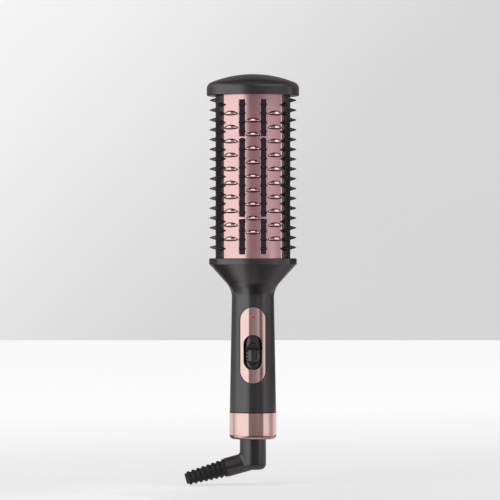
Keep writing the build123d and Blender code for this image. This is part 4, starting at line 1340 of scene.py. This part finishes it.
@dataclass(frozen=True)
class Card:
    """A studio card that only reflections show: a sheet swept round the brush, of changing shade.

    The edges are pairs of radius and height, and each station is an azimuth and a level from 0 to 1.
    """

    name: str
    lower: Pair
    upper: Pair
    stations: Stations
    blush: float = 0.3
    tint_loss: Pair = (0.56, 0.30)

    def level(self, azimuth: float) -> float:
        """The card's level at an azimuth.

        Args:
            azimuth: degrees from the front towards +X.

        Returns:
            The level between its two nearest stations.
        """
        for (first, low), (last, high) in zip(self.stations, self.stations[1:]):
            if azimuth <= last:
                return low + (high - low) * max(azimuth - first, 0.0) / (last - first)
        return self.stations[-1][1]

    def build(self, paint: bpy.types.Material) -> None:
        """Make the card.

        Args:
            paint: a glow in each point's own shade.
        """
        step = 2
        azimuths = range(round(self.stations[0][0]), round(self.stations[-1][0]) + step, step)
        edges = (self.lower, self.upper)
        form = Form()
        form.grid([[polar(radius / MM, angle, height / MM) for radius, height in edges]
                   for angle in azimuths])
        card = form.piece(self.name, weld=False)
        shades = card.data.attributes.new("shade", "FLOAT_COLOR", "POINT")
        for vertex in card.data.vertices:
            angle = math.degrees(math.atan2(vertex.co.x, -vertex.co.y))
            level = self.level(angle)
            loss = self.blush * max(1 - level, 0.0)
            green, blue = (level * (1 - share * loss) for share in self.tint_loss)
            shades.data[vertex.index].color = (level, green, blue, 1.0)
        card.data.materials.append(paint)
        for kind in ("visible_camera", "visible_diffuse", "visible_shadow", "visible_transmission",
                     "visible_volume_scatter"):
            setattr(card, kind, False)


@dataclass
class Studio:
    """The floor, the wall, the lights, the reflected cards, the world and the camera."""

    target_z: float = 0.1353
    camera_y: float = -2.3
    camera_x: float = -0.0021
    lens: float = 231.0
    wall_y: float = 3.7
    near: float = 0.5
    boxes: tuple[Softbox, ...] = (
        Softbox("key_left", -51.0, 28.0, 1.5, 0.10, (1.2, 1.2), 1.0),
        Softbox("fill_right", 80.0, 28.0, 1.5, 0.10, (0.9, 0.9), 0.7),
        Softbox("sparkle_top", -6.0, 58.0, 0.36, 0.185, (0.10, 0.13), 1.2, metal_only=True),
        Softbox("sparkle_left", -94.0, 43.0, 0.36, 0.185, (0.11, 0.13), 1.2, metal_only=True),
        Softbox("sparkle_right", 88.0, 43.0, 0.36, 0.185, (0.11, 0.13), 1.2, metal_only=True))
    ring_band: Stations = (
        (-180, 0.78), (-124, 0.76), (-112, 0.62), (-106, 0.55), (-99, 0.60), (-95, 0.82), (-84, 0.90),
        (-80, 1.0), (-23, 1.0), (-18, 0.24), (-10, 0.25), (5, 0.21), (20, 0.25), (42, 0.24), (50, 0.28),
        (54, 0.85), (80, 0.82), (87, 0.55), (95, 0.42), (108, 0.43), (116, 0.60), (124, 0.78),
        (180, 0.78))
    handle_band: Stations = (
        (-180, 0.20), (-150, 0.22), (-120, 0.36), (-108, 0.42), (-96, 0.75), (-85, 1.0), (-23, 1.02),
        (-18, 0.2), (-8, 0.25), (10, 0.28), (17, 0.31), (24, 0.42), (29, 0.48), (33, 0.36), (38, 0.14),
        (44, 0.16), (50, 0.32), (56, 0.72), (66, 0.75), (72, 0.45), (88, 0.36), (114, 0.2), (150, 0.15),
        (180, 0.20))
    barrel_band: Stations = (
        (-180, 0.32), (-160, 0.32), (-152, 0.06), (-106, 0.05), (-103, 0.80), (-97, 0.97), (-30, 0.97),
        (-22, 0.72), (-18, 0.55), (-12, 0.38), (-6, 0.29), (6, 0.27), (22, 0.34), (35, 0.50),
        (47, 0.58), (60, 0.55), (75, 0.50), (90, 0.42), (94, 0.48), (96, 1.0), (107, 1.0), (110, 0.05),
        (158, 0.05), (166, 0.18), (180, 0.32))
    cap_band: Stations = (
        (-180, 0.24), (-150, 0.22), (-125, 0.40), (-108, 0.80), (-95, 0.95), (-35, 0.95), (-22, 0.50),
        (-10, 0.17), (20, 0.20), (60, 0.33), (110, 0.30), (150, 0.24), (180, 0.24))
    dome_band: Stations = (
        (-180, 0.24), (-150, 0.24), (-125, 0.40), (-108, 0.80), (-95, 0.90), (-35, 0.90), (-22, 0.30),
        (-5, 0.20), (10, 0.50), (20, 0.75), (80, 0.70), (95, 0.30), (150, 0.24), (180, 0.24))
    top: Stations = ((-180, 0.10), (-100, 0.24), (0, 0.34), (100, 0.24), (180, 0.10))
    floor_foot: Stations = ((-180, 0.30), (0, 0.42), (180, 0.30))
    floor_near: Stations = (
        (-180, 0.08), (-125, 0.10), (-108, 0.20), (-98, 0.70), (-62, 0.90), (-45, 0.45), (-25, 0.12),
        (0, 0.08), (45, 0.10), (70, 0.20), (97, 0.25), (115, 0.40), (145, 0.40), (180, 0.10))
    floor_far: Stations = (
        (-180, 0.08), (-125, 0.10), (-100, 0.25), (-80, 0.40), (-62, 0.60), (-54, 1.0), (-32, 1.0),
        (-22, 0.25), (-12, 0.08), (30, 0.10), (55, 0.30), (75, 0.40), (120, 0.40), (140, 0.25),
        (160, 0.12), (180, 0.08))

    def cards(self) -> list[Card]:
        """The cards, from the floor up.

        Returns:
            One card for each band of the brush, and one over it.
        """
        floor, near = self.floor_z + 0.0005, self.near
        return [
            Card("card_floor_foot", (0.001, floor), (0.046, floor), self.floor_foot),
            Card("card_floor_near", (0.046, floor), (0.13, floor), self.floor_near),
            Card("card_floor_far", (0.13, floor), (near, floor), self.floor_far),
            Card("card_ring", (near, floor), (near, -0.002), self.ring_band),
            Card("card_handle", (near, -0.002), (near, 0.125), self.handle_band),
            Card("card_barrel", (near, 0.125), (near, 0.262), self.barrel_band, blush=0.6),
            Card("card_cap", (near, 0.262), (near, 0.36), self.cap_band),
            Card("card_dome", (near, 0.36), (near, 0.62), self.dome_band),
            Card("card_top", (near, 0.62), (0.005, 0.80), self.top),
        ]

    def paint(self) -> bpy.types.Material:
        """A glow in the shade that each point of a card carries.

        Returns:
            The material.
        """
        sheet = NodeSheet("card_glow")
        glow = sheet.add("ShaderNodeEmission", Strength=1.0)
        shade = sheet.add("ShaderNodeAttribute", attribute_name="shade")
        sheet.join(shade.outputs["Color"], glow.inputs["Color"])
        sheet.join(glow.outputs["Emission"], sheet.tree.nodes["Material Output"].inputs["Surface"])
        sheet.material.cycles.emission_sampling = "NONE"
        return sheet.material

    def surface(self, name: str, low: Colour, high: Colour, shown: Pair,
                fade: tuple[Point, Point]) -> bpy.types.Material:
        """A plain matt surface that shows paler to the camera, to mirrors and through glass: painted light
        that fades between two points.

        Args:
            name: the material's name.
            low: darker colour of its slow variation.
            high: lighter colour.
            shown: strength of the painted light at the start and at the end of its fade.
            fade: two points in metres that the painted light fades between.

        Returns:
            The material.
        """
        sheet = NodeSheet(name)
        sheet.join(sheet.tint(sheet.noise(1.3, 2.0), low, high), sheet.shader.inputs["Base Color"])
        sheet.shader.inputs["Roughness"].default_value = 0.9
        sheet.bump(sheet.noise(220.0, 3.0), 0.0004, 0.15)
        first, last = Vector(fade[0]), Vector(fade[1])
        way = (last - first) / (last - first).length_squared
        place = sheet.add("ShaderNodeTexCoord")
        shift = sheet.add("ShaderNodeVectorMath", operation="SUBTRACT")
        shift.inputs[1].default_value = first
        along = sheet.add("ShaderNodeVectorMath", operation="DOT_PRODUCT")
        along.inputs[1].default_value = way
        sheet.join(place.outputs["Object"], shift.inputs[0])
        sheet.join(shift.outputs["Vector"], along.inputs[0])
        painted_light = sheet.add("ShaderNodeMapRange", interpolation_type="SMOOTHSTEP", To_Min=shown[0],
                             To_Max=shown[1])
        sheet.join(along.outputs["Value"], painted_light.inputs["Value"])
        path = sheet.add("ShaderNodeLightPath")
        seen = path.outputs["Is Camera Ray"]
        for ray in ("Is Glossy Ray", "Is Transmission Ray"):
            either = sheet.add("ShaderNodeMath", operation="MAXIMUM")
            sheet.join(seen, either.inputs[0])
            sheet.join(path.outputs[ray], either.inputs[1])
            seen = either.outputs["Value"]
        strength = sheet.add("ShaderNodeMath", operation="MULTIPLY")
        sheet.join(seen, strength.inputs[0])
        sheet.join(painted_light.outputs["Result"], strength.inputs[1])
        glow = sheet.add("ShaderNodeEmission")
        sheet.join(strength.outputs["Value"], glow.inputs["Strength"])
        both = sheet.add("ShaderNodeAddShader")
        sheet.join(sheet.shader.outputs["BSDF"], both.inputs[0])
        sheet.join(glow.outputs["Emission"], both.inputs[1])
        sheet.join(both.outputs["Shader"], sheet.tree.nodes["Material Output"].inputs["Surface"])
        return sheet.material

    def flat(self, name: str, corners: Sequence[Point], finish: bpy.types.Material) -> None:
        """Make one flat stage surface.

        Args:
            name: the surface's name.
            corners: its four corners, in metres.
            finish: its material.
        """
        mesh = bpy.data.meshes.new(name)
        mesh.from_pydata(corners, [], [(0, 1, 2, 3)])
        stage = bpy.data.objects.new(name, mesh)
        bpy.context.scene.collection.objects.link(stage)
        mesh.materials.append(finish)

    def set_stage(self) -> None:
        """Lay the floor under the brush and stand the wall behind it."""
        self.floor_z = CAD_BOX[0].z - 0.0002
        half, near, top = 14.0, -14.0, 1.4
        # painted light: the floor pales towards the back left, where the lamps' own light falls off, and the
        # wall towards its upper left
        floor = self.surface("pale_floor", (0.82, 0.82, 0.81), (0.88, 0.88, 0.87), (0.48, 0.74),
                             ((0.20, -0.35, 0.0), (-0.30, 1.2, 0.0)))
        wall = self.surface("pale_wall", (0.66, 0.66, 0.65), (0.72, 0.72, 0.71), (0.74, 0.50),
                            ((-0.60, 0.0, 0.55), (0.05, 0.0, 0.0)))
        low, back = self.floor_z, self.wall_y
        front_left, front_right = (-half, near, low), (half, near, low)
        back_left, back_right = (-half, back, low), (half, back, low)
        self.flat("floor", [front_left, front_right, back_right, back_left], floor)
        self.flat("wall", [back_left, back_right, (half, back, top), (-half, back, top)], wall)

    def set_lights(self, metal: Sequence[bpy.types.Object]) -> None:
        """Hang the softboxes round the brush, none of them visible to the camera.

        Args:
            metal: the pieces that alone take the light of a box meant for metal.
        """
        takers = bpy.data.collections.new("takes_sparkle")
        for piece in metal:
            takers.objects.link(piece)
        for box in self.boxes:
            box.build(takers)

    def set_world(self) -> None:
        """A soft grey surround."""
        world = bpy.data.worlds.new("surround")
        bpy.context.scene.world = world
        world.use_nodes = True
        world.node_tree.nodes["Background"].inputs["Color"].default_value = (0.25, 0.25, 0.255, 1.0)

    def set_camera(self) -> None:
        """Stand the camera level in front of the brush."""
        data = bpy.data.cameras.new("camera")
        data.lens, data.sensor_width = self.lens, 36.0
        camera = bpy.data.objects.new("camera", data)
        camera.location = (self.camera_x, self.camera_y, self.target_z)
        camera.rotation_euler = (math.pi / 2, 0.0, 0.0)
        bpy.context.scene.collection.objects.link(camera)
        bpy.context.scene.camera = camera

    def build(self, metal: Sequence[bpy.types.Object]) -> None:
        """Set up everything that is not the brush.

        Args:
            metal: the brush's mirror pieces.
        """
        bpy.context.scene.view_settings.view_transform = "Standard"
        self.set_stage()
        self.set_lights(metal)
        paint = self.paint()
        for card in self.cards():
            card.build(paint)
        self.set_world()
        self.set_camera()


def main() -> None:
    """Build every sub-assembly in order, then the studio."""
    logging.basicConfig(level=logging.INFO, format="%(message)s")
    book = FinishBook()
    book.dress_cad()
    taper = HandleTaper()
    metal = [HeatedPlate(book).build(), HeatedPlate(book, node="heated_plate_rear", turn=180.0).build()]
    CombPanel(book).build()
    CombPanel(book, node="side_comb_left", side=-1).build()
    TipCap(book).build()
    NeckCollar(book).build()
    SeamTongue(book, taper).build()
    metal.append(ControlPlate(book, taper).build())
    metal.append(EndRing(book).build())
    Thumb(book).build()
    StrainRelief(book).build()
    Studio().build(metal)


if __name__ == "__main__":
    main()
